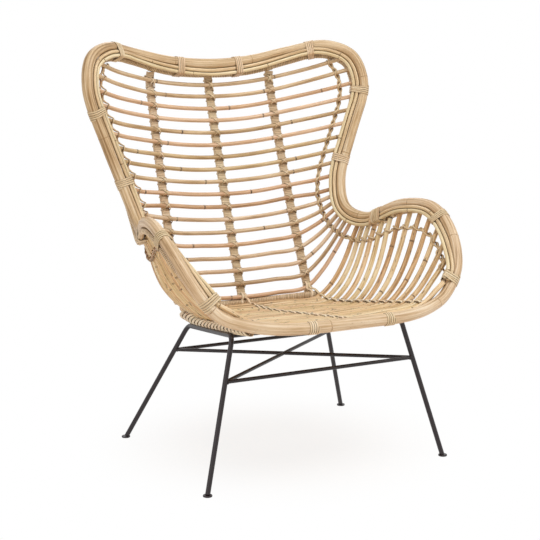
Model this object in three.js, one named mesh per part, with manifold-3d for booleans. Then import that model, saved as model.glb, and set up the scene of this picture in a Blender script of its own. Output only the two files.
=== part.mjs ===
// Rattan wing chair on a black steel rod stand: millimetres, +Z up, the sitter looks along -Y.
import * as THREE from 'three';
import { mergeVertices } from 'three/addons/utils/BufferGeometryUtils.js';
import Module from 'manifold-3d';

const wasm = await Module();
wasm.setup();

// Clearances
const SEAT_GAP = 0.3; // between pieces that are nailed, tied or welded together
const END_GAP = 1; // between a cane's flat end and the round pole that it is nailed to
const SLANT_GAP = 6; // more of it for a cane that lies along a bend of the pole
const REST_GAP = 0.8; // under sloping poles that rest on one another
const WRAP_GAP = 1.1; // between a bundle and the strip wound round it
const FILLER_GAP = 0.8; // between neighbouring canes of the seat

// Diameters of the rattan
const RIM_DIAMETER = 28;
const TRIM_DIAMETER = 10;
const HOOP_DIAMETER = 14;
const HOOP_ROOM = 2.4; // between the canes and the hoop, where the shell twists
const HOOP_INSET = 13; // of the hoop from the rim along the top, so that it shows under the trims
const BACK_CANE_DIAMETER = 11;
const SEAT_CANE_DIAMETER = 12.5;
const SIDE_CANE_DIAMETER = 6;
const SEAT_RAIL_DIAMETER = 20;
const BATTEN_DIAMETER = 12;
const REAR_BAR_DIAMETER = 16;
const RIB_WIDTH = 22;
const RIB_THICKNESS = 10;
const RIB_EDGE = 3; // taken off each of its long edges

// Rim: heights, half widths and places front to back, on the pole's centre line
const EAR_HEIGHT = 1000;
const TOP_DIP = 48; // between the ears
const TOP_HEIGHT = EAR_HEIGHT - TOP_DIP;
const WING_HALF_WIDTH = 398;
const EAR_INSET = 80;
const EAR_X = WING_HALF_WIDTH - EAR_INSET;
const WAIST_HALF_WIDTH = 302;
const NOTCH_HEIGHT = 552;
const ARM_HEIGHT = 603;
const ARM_HALF_WIDTH = 379;
const ARM_Y = -173;
const FRONT_CORNER_X = 243;
const FRONT_HEIGHT = 389;
const BACK_Y = 335;
const NOTCH_Y = 46;
const FRONT_Y = -416;

// Back: the middle line that the canes cross, from the top cane to the bottom one
const BACK_CANES = 18;
const WING_CANES = 11;
const TOP_CANE_DROP = 56; // under the rim's top middle
const TOP_CANE_HEIGHT = TOP_HEIGHT - TOP_CANE_DROP;
const LOW_CANE_HEIGHT = 349;
const BACK_LIFT = 4; // of the canes halfway up over an even spacing
const TOP_CANE_Y = 341;
const LOW_CANE_Y = 138;
const BACK_BOW = 10;
const RIB_X_TOP = 174;
const RIB_X_LOW = 187;
const RIB_FORWARD = 12;
const RIB_LIFT = 15;
const RIB_OVERHANG = 12; // of the side ribs under the last cane
const WING_BULGE = 14;
const WING_BELLY = 0.5; // of the way from the rim to the rib, where the canes bulge most

// Seat: the line of its side edges, its dish and its canes
const SEAT_CANES = 14;
const FILLERS_PER_GAP = 2;
const SEAT_LOW_HEIGHT = 348;
const SEAT_RISE = 0.145;
const SEAT_TURN_Y = 20;
const SEAT_TURN_LENGTH = 60;
const SEAT_DISH = 11;
const SEAT_BACK_Y = 112;
const SEAT_RAIL_FRONT_X = 217; // over the front legs
const SEAT_RAIL_REAR_X = 190; // over the rear legs
const SEAT_OVERHANG = 2;
const SEAT_REAR_BOW = 42; // how far the seat's rear edge comes forward at the rails
const REAR_BAR_ROOM = 27; // between the last seat cane and the bar behind it
const REAR_BAR_OVERHANG = 14;
const STAND_OVERHANG = 10; // of the stand's side rods past the middle of the seat rails
const NAIL_SINK = 0.6;
const ARM_BULGE = 24;
const ARM_BELLY = 0.6;
const FLAT_CANES = 2; // in front, over which the bulge dies out towards the pole

// Cane ends, measured round the rim from its stations
const FIRST_CANE_RISE = 2; // before the shoulder
const WING_LAST_RISE = 65; // before the waist
const BACK_LAST_ROOM = 45; // before the notch
const ARM_FIRST_ROOM = 21.8; // before the notch
const ARM_LAST_RISE = 2.6; // before the arm's front
const FRONT_CANE_DROP = 14; // of the front cane, which comes out under the last binding
const LOW_BINDING_DROP = 38;
const TRIM_OVERHANG = 1.5; // of the trims past their last binding
const ARM_EVENNESS = 0.435; // 1 would space the arm canes evenly
const TIE_REACH = 66; // from the rim, where the canes are tied to the side cane
const FRONT_AIM = 4; // the seat cane, counted from the front, that the front pole's section looks at

// Windings of flat cane strip
const STRIP_WIDTH = 4.4;
const STRIP_THICKNESS = 1.2;
const STRIP_PITCH = 5;
const STRIP_SINK = 2;
const LOOPS = 4;
const NOTCH_LOOPS = 2;
const LOOP_STEPS = 7;
const END_STEP = 0.2; // of a step, in which a strip's end turns down into the trim
const BUNDLE_REACH = 31.6; // from the rim to the far side of what a strip is wound round
const STRIP_OFFSET = 1.1; // of a strip's ends from the trim's middle, towards the rim
const TOP_BINDINGS = { right: [76, 290], left: [94, 302] }; // along the rim from the top middle
const WING_BINDINGS = { right: [3, 8], left: [4, 9] }; // each under the back cane of that number
const NOTCH_BINDING = 4; // each in front of the seat cane of that number
const ARM_BINDING = 10;
const FRONT_BINDING = 100.7; // along the rim from the front middle

// Steel stand
const LEG_DIAMETER = 12;
const BAR_DIAMETER = 9;
const LEG_BEND = 22;
const FRONT_LEG_Y = -264;
const REAR_LEG_Y = 55;
const FRONT_FOOT = [322, -325];
const REAR_FOOT = [323, 179];
const FRONT_STRETCHER_HEIGHT = 250;
const REAR_STRETCHER_HEIGHT = 244;
const CROSS_RAIL_INSET = 34;
const FOOT_DIAMETER = 22;
const FOOT_HEIGHT = 4;
const FOOT_CHAMFER = 1.4;

// Facets
const RIM_SIDES = 8;
const CANE_SIDES = 6;
const TRIM_SIDES = 6;
const SIDE_CANE_SIDES = 4;
const ROD_SIDES = 8;
const RIM_STEPS = 3;
const BEND_STEPS = 3;
const FOOT_SIDES = 12;
const STATION_ROOM = 4; // least distance between two rings of a pole
const CANE_STATIONS = [1.5, 2, 2.5, 3, 4, 5]; // along a cane's curve: belly 2, side 3, halfway 4, middle 5
const FILLER_STATIONS = [-1, -0.5, 0, 0.5, 1]; // in half lengths of a filler cane
const STEEP = 0.9; // a rod's rise over its length, above which it counts as upright
const WELD = 1e-4; // points closer than this are one

const rattan = (color) => new THREE.MeshStandardMaterial({ color, roughness: 0.55, metalness: 0 });
const POLE = rattan(0xd6b88c);
const PALE_CANE = rattan(0xf0deaf);
const CANE = rattan(0xc8aa7d);
const STRIP = rattan(0xe4cda5);
const STEEL = new THREE.MeshStandardMaterial({ color: 0x2d2a2c, roughness: 0.4, metalness: 0.6 });

const vec = (x, y, z) => new THREE.Vector3(x, y, z);
const mirror = (p) => vec(-p.x, p.y, p.z);
const mix = THREE.MathUtils.lerp;
const between = (a, b, t) => a.clone().lerp(b, t);
const along = (p, direction, distance) => p.clone().addScaledVector(direction, distance);
const heading = (from, to) => to.clone().sub(from).normalize();

const chair = new THREE.Group();

function addPiece(name, geometry, material) {
  const mesh = new THREE.Mesh(closed(geometry), material.clone());
  mesh.name = name;
  chair.add(mesh);
}

function closed(geometry) {
  const bare = new THREE.BufferGeometry();
  bare.setAttribute('position', geometry.getAttribute('position'));
  bare.setIndex(geometry.getIndex());
  return mergeVertices(bare, WELD);
}

function toSolid(geometry) {
  const bare = closed(geometry);
  const vertProperties = new Float32Array(bare.getAttribute('position').array);
  const triVerts = new Uint32Array(bare.getIndex().array);
  return new wasm.Manifold(new wasm.Mesh({ numProp: 3, vertProperties, triVerts }));
}

function toGeometry(solid) {
  const mesh = solid.getMesh();
  const geometry = new THREE.BufferGeometry();
  geometry.setAttribute('position', new THREE.BufferAttribute(mesh.vertProperties, 3));
  geometry.setIndex(new THREE.BufferAttribute(mesh.triVerts, 1));
  return geometry;
}

const join = (geometries) => toGeometry(geometries.map(toSolid).reduce((a, b) => a.add(b)));

// A path through given points; its section keeps to the given side directions, or turns as little as it can
class Route extends THREE.Curve {
  constructor(points, facing) {
    super();
    this.points = points;
    this.facing = facing;
  }

  getPointAt(u) {
    return this.points[Math.round(u * (this.points.length - 1))].clone();
  }

  getTangentAt(u) {
    const i = Math.round(u * (this.points.length - 1));
    const before = this.points[Math.max(i - 1, 0)];
    const after = this.points[Math.min(i + 1, this.points.length - 1)];
    return heading(before, after);
  }

  computeFrenetFrames(segments) {
    const frames = { tangents: [], normals: [], binormals: [] };
    let side = Array.isArray(this.facing) ? null : this.facing;
    for (let i = 0; i <= segments; i++) {
      const tangent = this.getTangentAt(i / segments);
      const wanted = side ?? this.facing[i];
      const normal = along(wanted, tangent, -wanted.dot(tangent)).normalize();
      side = side ? normal : null;
      frames.tangents.push(tangent);
      frames.normals.push(normal);
      frames.binormals.push(tangent.clone().cross(normal));
    }
    return frames;
  }
}

function sweep(section, points, facing) {
  const extrudePath = new Route(points, facing);
  return new THREE.ExtrudeGeometry(section, { steps: points.length - 1, extrudePath, bevelEnabled: false });
}

function disc(radius, sides) {
  const corners = [];
  for (let i = 0; i < sides; i++) {
    const turn = (2 * Math.PI * i) / sides;
    corners.push(new THREE.Vector2(radius * Math.cos(turn), radius * Math.sin(turn)));
  }
  return new THREE.Shape(corners);
}

const tube = (points, diameter, sides, facing) => sweep(disc(diameter / 2, sides), points, facing);

function rod(from, to, diameter) {
  const facing = Math.abs(heading(from, to).z) > STEEP ? vec(1, 0, 0) : vec(0, 0, 1);
  return tube([from, to], diameter, ROD_SIDES, facing);
}

// How far short of a pole's centre line a flat-ended piece stops, so that its end just clears the pole
function stopShort(direction, pole, reach, halfWidth) {
  const slant = Math.abs(direction.dot(pole));
  return (reach + halfWidth * slant) / Math.sqrt(1 - slant * slant);
}

// Rim line: stations of the right half, from the top middle round to the front middle
const RIM_STATIONS = [
  vec(0, BACK_Y, TOP_HEIGHT), // top middle
  vec(EAR_X - 197, BACK_Y - 1, TOP_HEIGHT + 9),
  vec(EAR_X - 87, BACK_Y - 16, EAR_HEIGHT - 16),
  vec(EAR_X, BACK_Y - 59, EAR_HEIGHT), // ear
  vec(WING_HALF_WIDTH - 18, BACK_Y - 104, EAR_HEIGHT - 28), // shoulder
  vec(WING_HALF_WIDTH, BACK_Y - 134, EAR_HEIGHT - 106), // wing
  vec(WING_HALF_WIDTH - 38, BACK_Y - 142, EAR_HEIGHT - 227),
  vec(WAIST_HALF_WIDTH + 14, NOTCH_Y + 134, NOTCH_HEIGHT + 97),
  vec(WAIST_HALF_WIDTH, NOTCH_Y + 82, NOTCH_HEIGHT + 19), // waist
  vec(WAIST_HALF_WIDTH + 19, NOTCH_Y, NOTCH_HEIGHT), // notch
  vec(ARM_HALF_WIDTH - 22, ARM_Y + 117, ARM_HEIGHT - 7),
  vec(ARM_HALF_WIDTH, ARM_Y, ARM_HEIGHT), // arm
  vec(ARM_HALF_WIDTH - 5, ARM_Y - 91, ARM_HEIGHT - 49),
  vec(ARM_HALF_WIDTH - 32, ARM_Y - 157, ARM_HEIGHT - 124), // arm's front
  vec(FRONT_CORNER_X + 59, FRONT_Y + 62, FRONT_HEIGHT + 32),
  vec(FRONT_CORNER_X, FRONT_Y + 33, FRONT_HEIGHT + 11), // front corner
  vec(FRONT_CORNER_X - 82, FRONT_Y + 8, FRONT_HEIGHT + 1),
  vec(0, FRONT_Y, FRONT_HEIGHT), // front middle
];
const [SHOULDER, WAIST, NOTCH, ARM_FRONT] = [4, 8, 9, 13];

function rimLine() {
  const left = RIM_STATIONS.slice(1, -1).reverse().map(mirror);
  const loop = new THREE.CatmullRomCurve3([...RIM_STATIONS, ...left], true, 'centripetal');
  const count = (RIM_STATIONS.length - 1) * RIM_STEPS;
  const points = [];
  for (let i = 0; i <= count; i++) points.push(loop.getPoint(i / (2 * count)));
  return points;
}

const RIM = rimLine();
const RIM_ARC = [0];
for (let i = 1; i < RIM.length; i++) RIM_ARC.push(RIM_ARC[i - 1] + RIM[i].distanceTo(RIM[i - 1]));
const RIM_LENGTH = RIM_ARC.at(-1);
const arcAt = (station) => RIM_ARC[station * RIM_STEPS];

// The span of a rising list that holds a value: the index of its end, and how far along it the value is
function spanOf(list, value) {
  const end = Math.max(1, list.findIndex((reach) => reach >= value - WELD));
  return { end, share: (value - list[end - 1]) / (list[end] - list[end - 1]) };
}

function rimPoint(arc) {
  const { end, share } = spanOf(RIM_ARC, arc);
  return between(RIM[end - 1], RIM[end], share);
}

function rimTangent(i) {
  if (i === 0) return vec(1, 0, 0);
  if (i === RIM.length - 1) return vec(-1, 0, 0);
  return heading(RIM[i - 1], RIM[i + 1]);
}

// The front pole at a given half width: its point, and how much it slants in plan
function frontRimAtX(x) {
  const i = RIM.findLastIndex((p) => p.x > x);
  const [a, b] = [RIM[i], RIM[i + 1]];
  const slant = Math.hypot(b.x - a.x, b.y - a.y) / (a.x - b.x);
  return { point: between(a, b, (x - a.x) / (b.x - a.x)), slant };
}

// Back and seat surfaces
const ribX = (row) => mix(RIB_X_TOP, RIB_X_LOW, row / (BACK_CANES - 1));

function backPoint(x, row) {
  const share = row / (BACK_CANES - 1);
  const out = (x / ribX(row)) ** 2;
  const belly = 4 * share * (1 - share);
  const y = mix(TOP_CANE_Y, LOW_CANE_Y, share) + BACK_BOW * belly - RIB_FORWARD * out;
  const z = mix(TOP_CANE_HEIGHT, LOW_CANE_HEIGHT, share) + BACK_LIFT * belly + RIB_LIFT * out;
  return vec(x, y, z);
}

// The seat's front cane lies behind the front pole, with room for the strip wound round the pole
const RAIL_TAPER = (SEAT_RAIL_FRONT_X - SEAT_RAIL_REAR_X) / (FRONT_LEG_Y - REAR_LEG_Y);
const railX = (y) => SEAT_RAIL_REAR_X + RAIL_TAPER * (y - REAR_LEG_Y);
const FRONT_ROOM = RIM_DIAMETER / 2 + SEAT_CANE_DIAMETER / 2 + STRIP_THICKNESS + 2 * WRAP_GAP;
const SEAT_FRONT_Y = FRONT_Y + FRONT_ROOM;
const SEAT_PITCH = (SEAT_BACK_Y - SEAT_FRONT_Y) / (SEAT_CANES - 1);
const FRONT_AT_RAIL = frontRimAtX(railX(SEAT_FRONT_Y));
const FRONT_BOW = FRONT_AT_RAIL.point.y + FRONT_ROOM * FRONT_AT_RAIL.slant - SEAT_FRONT_Y;
const BOW_RATE = (FRONT_BOW + SEAT_REAR_BOW) / (SEAT_BACK_Y - SEAT_FRONT_Y);
const bow = (y) => FRONT_BOW - BOW_RATE * (y - SEAT_FRONT_Y);

// A point of the seat on the cane that crosses the middle at y. At the rails the front canes bow back and
// the rear ones forward.
function seatPoint(x, y, depth) {
  const behind = SEAT_TURN_Y - y;
  const edge = SEAT_LOW_HEIGHT + (SEAT_RISE / 2) * (behind + Math.hypot(behind, SEAT_TURN_LENGTH));
  const out = (x / railX(y)) ** 2;
  return vec(x, y + bow(y) * out, edge - SEAT_DISH * (1 - out) - depth);
}

const onRail = (y, depth) => seatPoint(railX(y), y, depth);

// Where each cane meets the rim, and where the trims end, measured round the rim from the top middle
const WING_LAST = arcAt(WAIST) - WING_LAST_RISE;
const BACK_LAST = arcAt(NOTCH) - BACK_LAST_ROOM;
const ARM_LAST = arcAt(ARM_FRONT) - ARM_LAST_RISE;
const LOW_BINDING = arcAt(ARM_FRONT) + LOW_BINDING_DROP;
const TRIM_END = LOW_BINDING + (LOOPS * STRIP_PITCH + STRIP_WIDTH) / 2 + TRIM_OVERHANG;

function backArc(row) {
  if (row < WING_CANES) return mix(arcAt(SHOULDER) - FIRST_CANE_RISE, WING_LAST, row / (WING_CANES - 1));
  return mix(WING_LAST, BACK_LAST, (row - WING_CANES + 1) / (BACK_CANES - WING_CANES));
}

function armArc(row) {
  const share = row / (SEAT_CANES - 1);
  const reach = ARM_EVENNESS * share + (1 - ARM_EVENNESS) * share * share;
  const drop = FRONT_CANE_DROP * Math.max(0, row - (SEAT_CANES - 2));
  return mix(arcAt(NOTCH) - ARM_FIRST_ROOM, ARM_LAST, reach) + drop;
}

const seatY = (row) => SEAT_BACK_Y - SEAT_PITCH * row;

function tangentAt(arc) {
  const { end, share } = spanOf(RIM_ARC, arc);
  return between(rimTangent(end - 1), rimTangent(end), share).normalize();
}

// The belly of a cane: where, between the rim and its rib or rail, it bulges away from the sitter
function bellyOf(arc, side, share, bulge) {
  const point = rimPoint(arc);
  const facing = heading(point, side).cross(tangentAt(arc)).normalize();
  return along(between(point, side, share), facing, -bulge);
}

const wingBelly = (row) => bellyOf(backArc(row), backPoint(ribX(row), row), WING_BELLY, WING_BULGE);

function armBelly(row) {
  const bulge = ARM_BULGE * Math.min(1, (SEAT_CANES - 1 - row) / FLAT_CANES);
  return bellyOf(armArc(row), onRail(seatY(row), SEAT_CANE_DIAMETER / 2), ARM_BELLY, bulge);
}

// The directions that the shell takes at the rim: inward along the canes, and across to the sitter
function aims() {
  const list = [{ arc: 0, aim: backPoint(0, 0) }];
  for (let row = 0; row < BACK_CANES; row++) list.push({ arc: backArc(row), aim: wingBelly(row) });
  for (let row = 0; row < SEAT_CANES; row++) list.push({ arc: armArc(row), aim: armBelly(row) });
  list.push({ arc: RIM_LENGTH, aim: seatPoint(0, seatY(SEAT_CANES - FRONT_AIM), 0) });
  return list;
}

const AIMS = aims();
const AIM_ARC = AIMS.map((entry) => entry.arc);

function rimFrame(arc) {
  const point = rimPoint(arc);
  const aimSpan = spanOf(AIM_ARC, arc);
  const aim = between(AIMS[aimSpan.end - 1].aim, AIMS[aimSpan.end].aim, aimSpan.share);
  const tangent = tangentAt(arc);
  const inward = heading(point, aim);
  inward.addScaledVector(tangent, -inward.dot(tangent)).normalize();
  return { point, tangent, inward, facing: inward.clone().cross(tangent) };
}

// Places of the trims and the hoop in the rim's cross-section: inward, then towards the sitter
const gripRadius = (arc) => {
  const share = THREE.MathUtils.smoothstep(arc, backArc(0), BACK_LAST - BACK_CANE_DIAMETER);
  return mix(BACK_CANE_DIAMETER, SEAT_CANE_DIAMETER, share) / 2;
};

function beside(arc, diameter, room) {
  const across = gripRadius(arc) + diameter / 2 + room;
  const reach = RIM_DIAMETER / 2 + diameter / 2 + SEAT_GAP;
  return { inward: Math.sqrt(reach ** 2 - Math.min(across, reach) ** 2), across };
}

const outerTrim = (arc) => beside(arc, TRIM_DIAMETER, REST_GAP);

function hoop(arc) {
  const place = beside(arc, HOOP_DIAMETER, HOOP_ROOM);
  const inset = mix(HOOP_INSET, 0, THREE.MathUtils.smoothstep(arc, arcAt(SHOULDER), arcAt(WAIST)));
  return { inward: place.inward + inset, across: -place.across };
}

function innerTrim(arc) {
  const place = outerTrim(arc);
  return { inward: place.inward + TRIM_DIAMETER + SEAT_GAP, across: place.across };
}

function placed(frame, place) {
  return along(along(frame.point, frame.inward, place.inward), frame.facing, place.across);
}

// Points along the right half at the rim's own stations, closed off at both given arcs
function arcsBetween(from, to) {
  const inside = RIM_ARC.filter((arc) => arc > from + STATION_ROOM && arc < to - STATION_ROOM);
  return [from, ...inside, to];
}

function roundTop(place, end) {
  const right = arcsBetween(0, end).map((arc) => placed(rimFrame(arc), place(arc)));
  const left = right.slice(1).reverse().map(mirror);
  return [...left, ...right];
}

function facingRoundTop(end) {
  const right = arcsBetween(0, end).map((arc) => rimFrame(arc).facing);
  return [...right.slice(1).reverse().map(mirror), ...right];
}

// The rim is two poles, butted in the notch in front of each wing
const onRim = () => ({ inward: 0, across: 0 });

// Bindings lie halfway between two canes, where these leave the bundle of rim, trims and hoop
function leaves(arc, belly) {
  const { point, tangent, inward } = rimFrame(arc);
  const lead = heading(point, belly);
  return arc + (BUNDLE_REACH * lead.dot(tangent)) / lead.dot(inward);
}

const wingLeaves = (row) => leaves(backArc(row), wingBelly(row));
const armLeaves = (row) => leaves(armArc(row), armBelly(row));
const onWing = (row) => (wingLeaves(row - 1) + wingLeaves(row)) / 2;
const onArm = (row) => (armLeaves(row - 1) + armLeaves(row)) / 2;
const SPLICE = onArm(NOTCH_BINDING);

function seatRimPoints(pick) {
  const right = arcsBetween(SPLICE + SEAT_GAP, RIM_LENGTH).map(pick);
  return [...right, ...right.slice(0, -1).reverse().map(mirror)];
}

function buildRim() {
  const back = tube(roundTop(onRim, SPLICE), RIM_DIAMETER, RIM_SIDES, facingRoundTop(SPLICE));
  addPiece('back_rim_pole', back, POLE);
  const points = seatRimPoints((arc) => rimPoint(arc));
  const facing = seatRimPoints((arc) => rimFrame(arc).facing);
  addPiece('seat_rim_pole', tube(points, RIM_DIAMETER, RIM_SIDES, facing), POLE);
}

// A cane: out of the rim, straight through its trims, round the bowl to the middle and the same on the left
function canePoints(arc, diameter, belly, side, middle) {
  const { point, tangent } = rimFrame(arc);
  const lead = heading(point, belly);
  const gap = END_GAP + SLANT_GAP * lead.dot(tangent) ** 2;
  const end = along(point, lead, stopShort(lead, tangent, RIM_DIAMETER / 2 + gap, diameter / 2));
  const straight = along(point, lead, TIE_REACH);
  const halfway = between(middle, side, 0.5 ** 2).setX(side.x / 2);
  const stations = [end, straight, belly, side, halfway, middle, mirror(halfway)];
  const curve = new THREE.CatmullRomCurve3(stations);
  const half = [end, straight];
  for (const step of CANE_STATIONS) half.push(curve.getPoint(step / (stations.length - 1)));
  const left = half.map(mirror);
  return [...left, ...half.slice(0, -1).reverse()];
}

// The points of a cane where it crosses the middle and its right side rib or seat rail
const MIDDLE_INDEX = CANE_STATIONS.length + 1;
const SIDE_INDEX = MIDDLE_INDEX + 2;

const backCanes = [];
for (let row = 0; row < BACK_CANES; row++) {
  const side = backPoint(ribX(row), row);
  const middle = backPoint(0, row);
  backCanes.push(canePoints(backArc(row), BACK_CANE_DIAMETER, wingBelly(row), side, middle));
}

const seatCanes = [];
for (let row = 0; row < SEAT_CANES; row++) {
  const depth = SEAT_CANE_DIAMETER / 2;
  const side = onRail(seatY(row), depth);
  const middle = seatPoint(0, seatY(row), depth);
  seatCanes.push(canePoints(armArc(row), SEAT_CANE_DIAMETER, armBelly(row), side, middle));
}

const numbered = (name, row) => `${name}_${String(row + 1).padStart(2, '0')}`;

function buildCanes() {
  backCanes.forEach((points, row) => {
    const facing = mirror(rimFrame(backArc(row)).facing);
    addPiece(numbered('back_cane', row), tube(points, BACK_CANE_DIAMETER, CANE_SIDES, facing), CANE);
  });
  seatCanes.forEach((points, row) => {
    const facing = mirror(rimFrame(armArc(row)).facing);
    addPiece(numbered('seat_cane', row), tube(points, SEAT_CANE_DIAMETER, CANE_SIDES, facing), CANE);
  });
}

// A thin cane tied behind the canes where they leave the trims
function buildSideCanes() {
  const crossings = [];
  const add = (points, diameter, arc) => {
    const grain = heading(points.at(-3), points.at(-1));
    crossings.push({ point: points.at(-2), grain, diameter, facing: rimFrame(arc).facing });
  };
  backCanes.forEach((points, row) => add(points, BACK_CANE_DIAMETER, backArc(row)));
  seatCanes.slice(0, -1).forEach((points, row) => add(points, SEAT_CANE_DIAMETER, armArc(row)));
  const right = crossings.map((crossing, i) => {
    const before = crossings[Math.max(i - 1, 0)].point;
    const after = crossings[Math.min(i + 1, crossings.length - 1)].point;
    const behind = heading(before, after).cross(crossing.grain).normalize();
    const sign = Math.sign(-behind.dot(crossing.facing));
    return along(crossing.point, behind, sign * ((crossing.diameter + SIDE_CANE_DIAMETER) / 2 + SEAT_GAP));
  });
  const facing = crossings[0].facing;
  addPiece('right_side_cane', tube(right, SIDE_CANE_DIAMETER, SIDE_CANE_SIDES, facing), PALE_CANE);
  const left = right.map(mirror);
  addPiece('left_side_cane', tube(left, SIDE_CANE_DIAMETER, SIDE_CANE_SIDES, mirror(facing)), PALE_CANE);
}

// A rib's section: wider than it is thick, with its edges taken off
function flatSection(width, thickness) {
  const [w, t] = [width / 2, thickness / 2];
  const corners = [[t, w - RIB_EDGE], [t - RIB_EDGE, w], [RIB_EDGE - t, w], [-t, w - RIB_EDGE]];
  const shape = corners.map(([x, y]) => new THREE.Vector2(x, y));
  const opposite = corners.map(([x, y]) => new THREE.Vector2(-x, -y));
  return new THREE.Shape([...shape, ...opposite]);
}

// Seat rails, under the ends of the seat's fillers
const RAIL_DEPTH = SEAT_CANE_DIAMETER + 2 * REST_GAP + NAIL_SINK + SEAT_RAIL_DIAMETER / 2;
const railAxis = (y) => onRail((y - bow(0)) / (1 - BOW_RATE), RAIL_DEPTH);

// The rear bar lies on the rails and follows the last seat cane
const REAR_BAR_DEPTH = RAIL_DEPTH - (SEAT_RAIL_DIAMETER + REAR_BAR_DIAMETER) / 2 - REST_GAP;
const REAR_BAR_END = railX(SEAT_BACK_Y) + REAR_BAR_OVERHANG;
const onRearBar = (x) => seatPoint(x, SEAT_BACK_Y, REAR_BAR_DEPTH).add(vec(0, REAR_BAR_ROOM, 0));
const REAR_BAR = FILLER_STATIONS.map((share) => onRearBar(share * REAR_BAR_END));

// Ribs: behind the back canes, from the hoop down. The middle one stands on the rear bar.
const HOOP_RIGHT = arcsBetween(0, TRIM_END).map((arc) => placed(rimFrame(arc), hoop(arc)));

function hoopAtX(x) {
  const i = HOOP_RIGHT.findIndex((p) => p.x > x);
  const [a, b] = [HOOP_RIGHT[i - 1], HOOP_RIGHT[i]];
  return { point: between(a, b, (x - a.x) / (b.x - a.x)), tangent: x > 0 ? heading(a, b) : vec(1, 0, 0) };
}

function buildRib(name, side) {
  const points = [];
  const facing = [];
  const offset = BACK_CANE_DIAMETER / 2 + RIB_THICKNESS / 2 + REST_GAP;
  const index = side === 0 ? MIDDLE_INDEX : SIDE_INDEX;
  const at = (row) => backCanes[row][index];
  for (let row = 0; row < BACK_CANES; row++) {
    const up = heading(at(Math.min(row + 1, BACK_CANES - 1)), at(Math.max(row - 1, 0)));
    const behind = heading(backCanes[row][index - 1], backCanes[row][index + 1]).cross(up).normalize();
    behind.multiplyScalar(Math.sign(behind.y));
    facing.push(behind);
    points.push(along(at(row), behind, offset));
  }
  const top = hoopAtX(points[0].x);
  const downward = heading(top.point, points[0]);
  const reach = HOOP_DIAMETER / 2 + SEAT_GAP;
  points.unshift(along(top.point, downward, stopShort(downward, top.tangent, reach, RIB_WIDTH / 2)));
  const last = points.at(-1);
  const bar = onRearBar(0);
  const onBar = along(bar, heading(bar, last), REAR_BAR_DIAMETER / 2 + SEAT_GAP);
  points.push(side === 0 ? onBar : along(last, heading(points.at(-2), last), RIB_OVERHANG));
  facing.unshift(facing[0]);
  facing.push(facing.at(-1));
  const turned = side < 0 ? mirror : (p) => p;
  const rib = sweep(flatSection(RIB_WIDTH, RIB_THICKNESS), points.map(turned), facing.map(turned));
  addPiece(name, rib, STRIP);
}

function buildRibs() {
  buildRib('left_rib', -1);
  buildRib('centre_rib', 0);
  buildRib('right_rib', 1);
}

// Seat: rails under its sides, a rear bar, and filler canes nailed to a middle batten
function buildSeatFrame() {
  addPiece('rear_seat_bar', tube(REAR_BAR, REAR_BAR_DIAMETER, RIM_SIDES, vec(0, 0, 1)), POLE);
  const points = seatRailPoints();
  addPiece('right_seat_rail', tube(points, SEAT_RAIL_DIAMETER, RIM_SIDES, vec(0, 0, 1)), POLE);
  addPiece('left_seat_rail', tube(points.map(mirror), SEAT_RAIL_DIAMETER, RIM_SIDES, vec(0, 0, 1)), POLE);
}

function seatRailPoints() {
  const points = [];
  for (let row = SEAT_CANES - 2; row >= 0; row--) points.push(railAxis(onRail(seatY(row), 0).y));
  const frontX = railAxis(FRONT_Y).x + SEAT_RAIL_DIAMETER / 2;
  points.unshift(railAxis(frontRimAtX(frontX).point.y + RIM_DIAMETER / 2 + SEAT_GAP));
  points.push(railAxis(REAR_BAR.at(-1).y + REAR_BAR_DIAMETER / 2));
  return points;
}

const REAR_SLANT = Math.hypot(1, (2 * SEAT_REAR_BOW) / railX(SEAT_BACK_Y));
const FILLER_ROOM = (SEAT_PITCH * (1 - BOW_RATE)) / REAR_SLANT - SEAT_CANE_DIAMETER;
const FILLER_DIAMETER = (FILLER_ROOM - (FILLERS_PER_GAP + 1) * FILLER_GAP) / FILLERS_PER_GAP;
const BATTEN_DEPTH = SEAT_CANE_DIAMETER + REST_GAP + BATTEN_DIAMETER / 2;
const FILLER_DEPTH = SEAT_CANE_DIAMETER + REST_GAP + NAIL_SINK - FILLER_DIAMETER / 2;

function buildSeatDeck() {
  const batten = [];
  for (let row = 0; row < SEAT_CANES; row++) batten.push(seatPoint(0, seatY(row), BATTEN_DEPTH));
  const pieces = [tube(batten, BATTEN_DIAMETER, CANE_SIDES, vec(0, 0, 1))];
  for (let row = 0; row < SEAT_CANES - 1; row++) {
    for (let i = 1; i <= FILLERS_PER_GAP; i++) {
      const y = seatY(row + i / (FILLERS_PER_GAP + 1));
      const reach = railX(y) + SEAT_OVERHANG;
      const points = FILLER_STATIONS.map((share) => seatPoint(share * reach, y, FILLER_DEPTH));
      pieces.push(tube(points, FILLER_DIAMETER, CANE_SIDES, vec(0, 0, 1)));
    }
  }
  addPiece('seat_deck', join(pieces), CANE);
}

// Steel stand
const stationAt = (from, to, z) => between(from, to, (z - from.z) / (to.z - from.z));
const STAND_REACH = (SEAT_RAIL_DIAMETER + LEG_DIAMETER) / 2 + REST_GAP;
const STAND_DROP = Math.sqrt(STAND_REACH ** 2 - STAND_OVERHANG ** 2);
const standRail = (y) => railAxis(y).add(vec(STAND_OVERHANG, 0, -STAND_DROP));
const FRONT_CORNER = standRail(FRONT_LEG_Y);
const REAR_CORNER = standRail(REAR_LEG_Y);
const FRONT_FLOOR = vec(...FRONT_FOOT, 0);
const REAR_FLOOR = vec(...REAR_FOOT, 0);

function bend(before, corner, after) {
  const from = along(corner, heading(corner, before), LEG_BEND);
  const to = along(corner, heading(corner, after), LEG_BEND);
  return new THREE.QuadraticBezierCurve3(from, corner, to).getPoints(BEND_STEPS);
}

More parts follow.
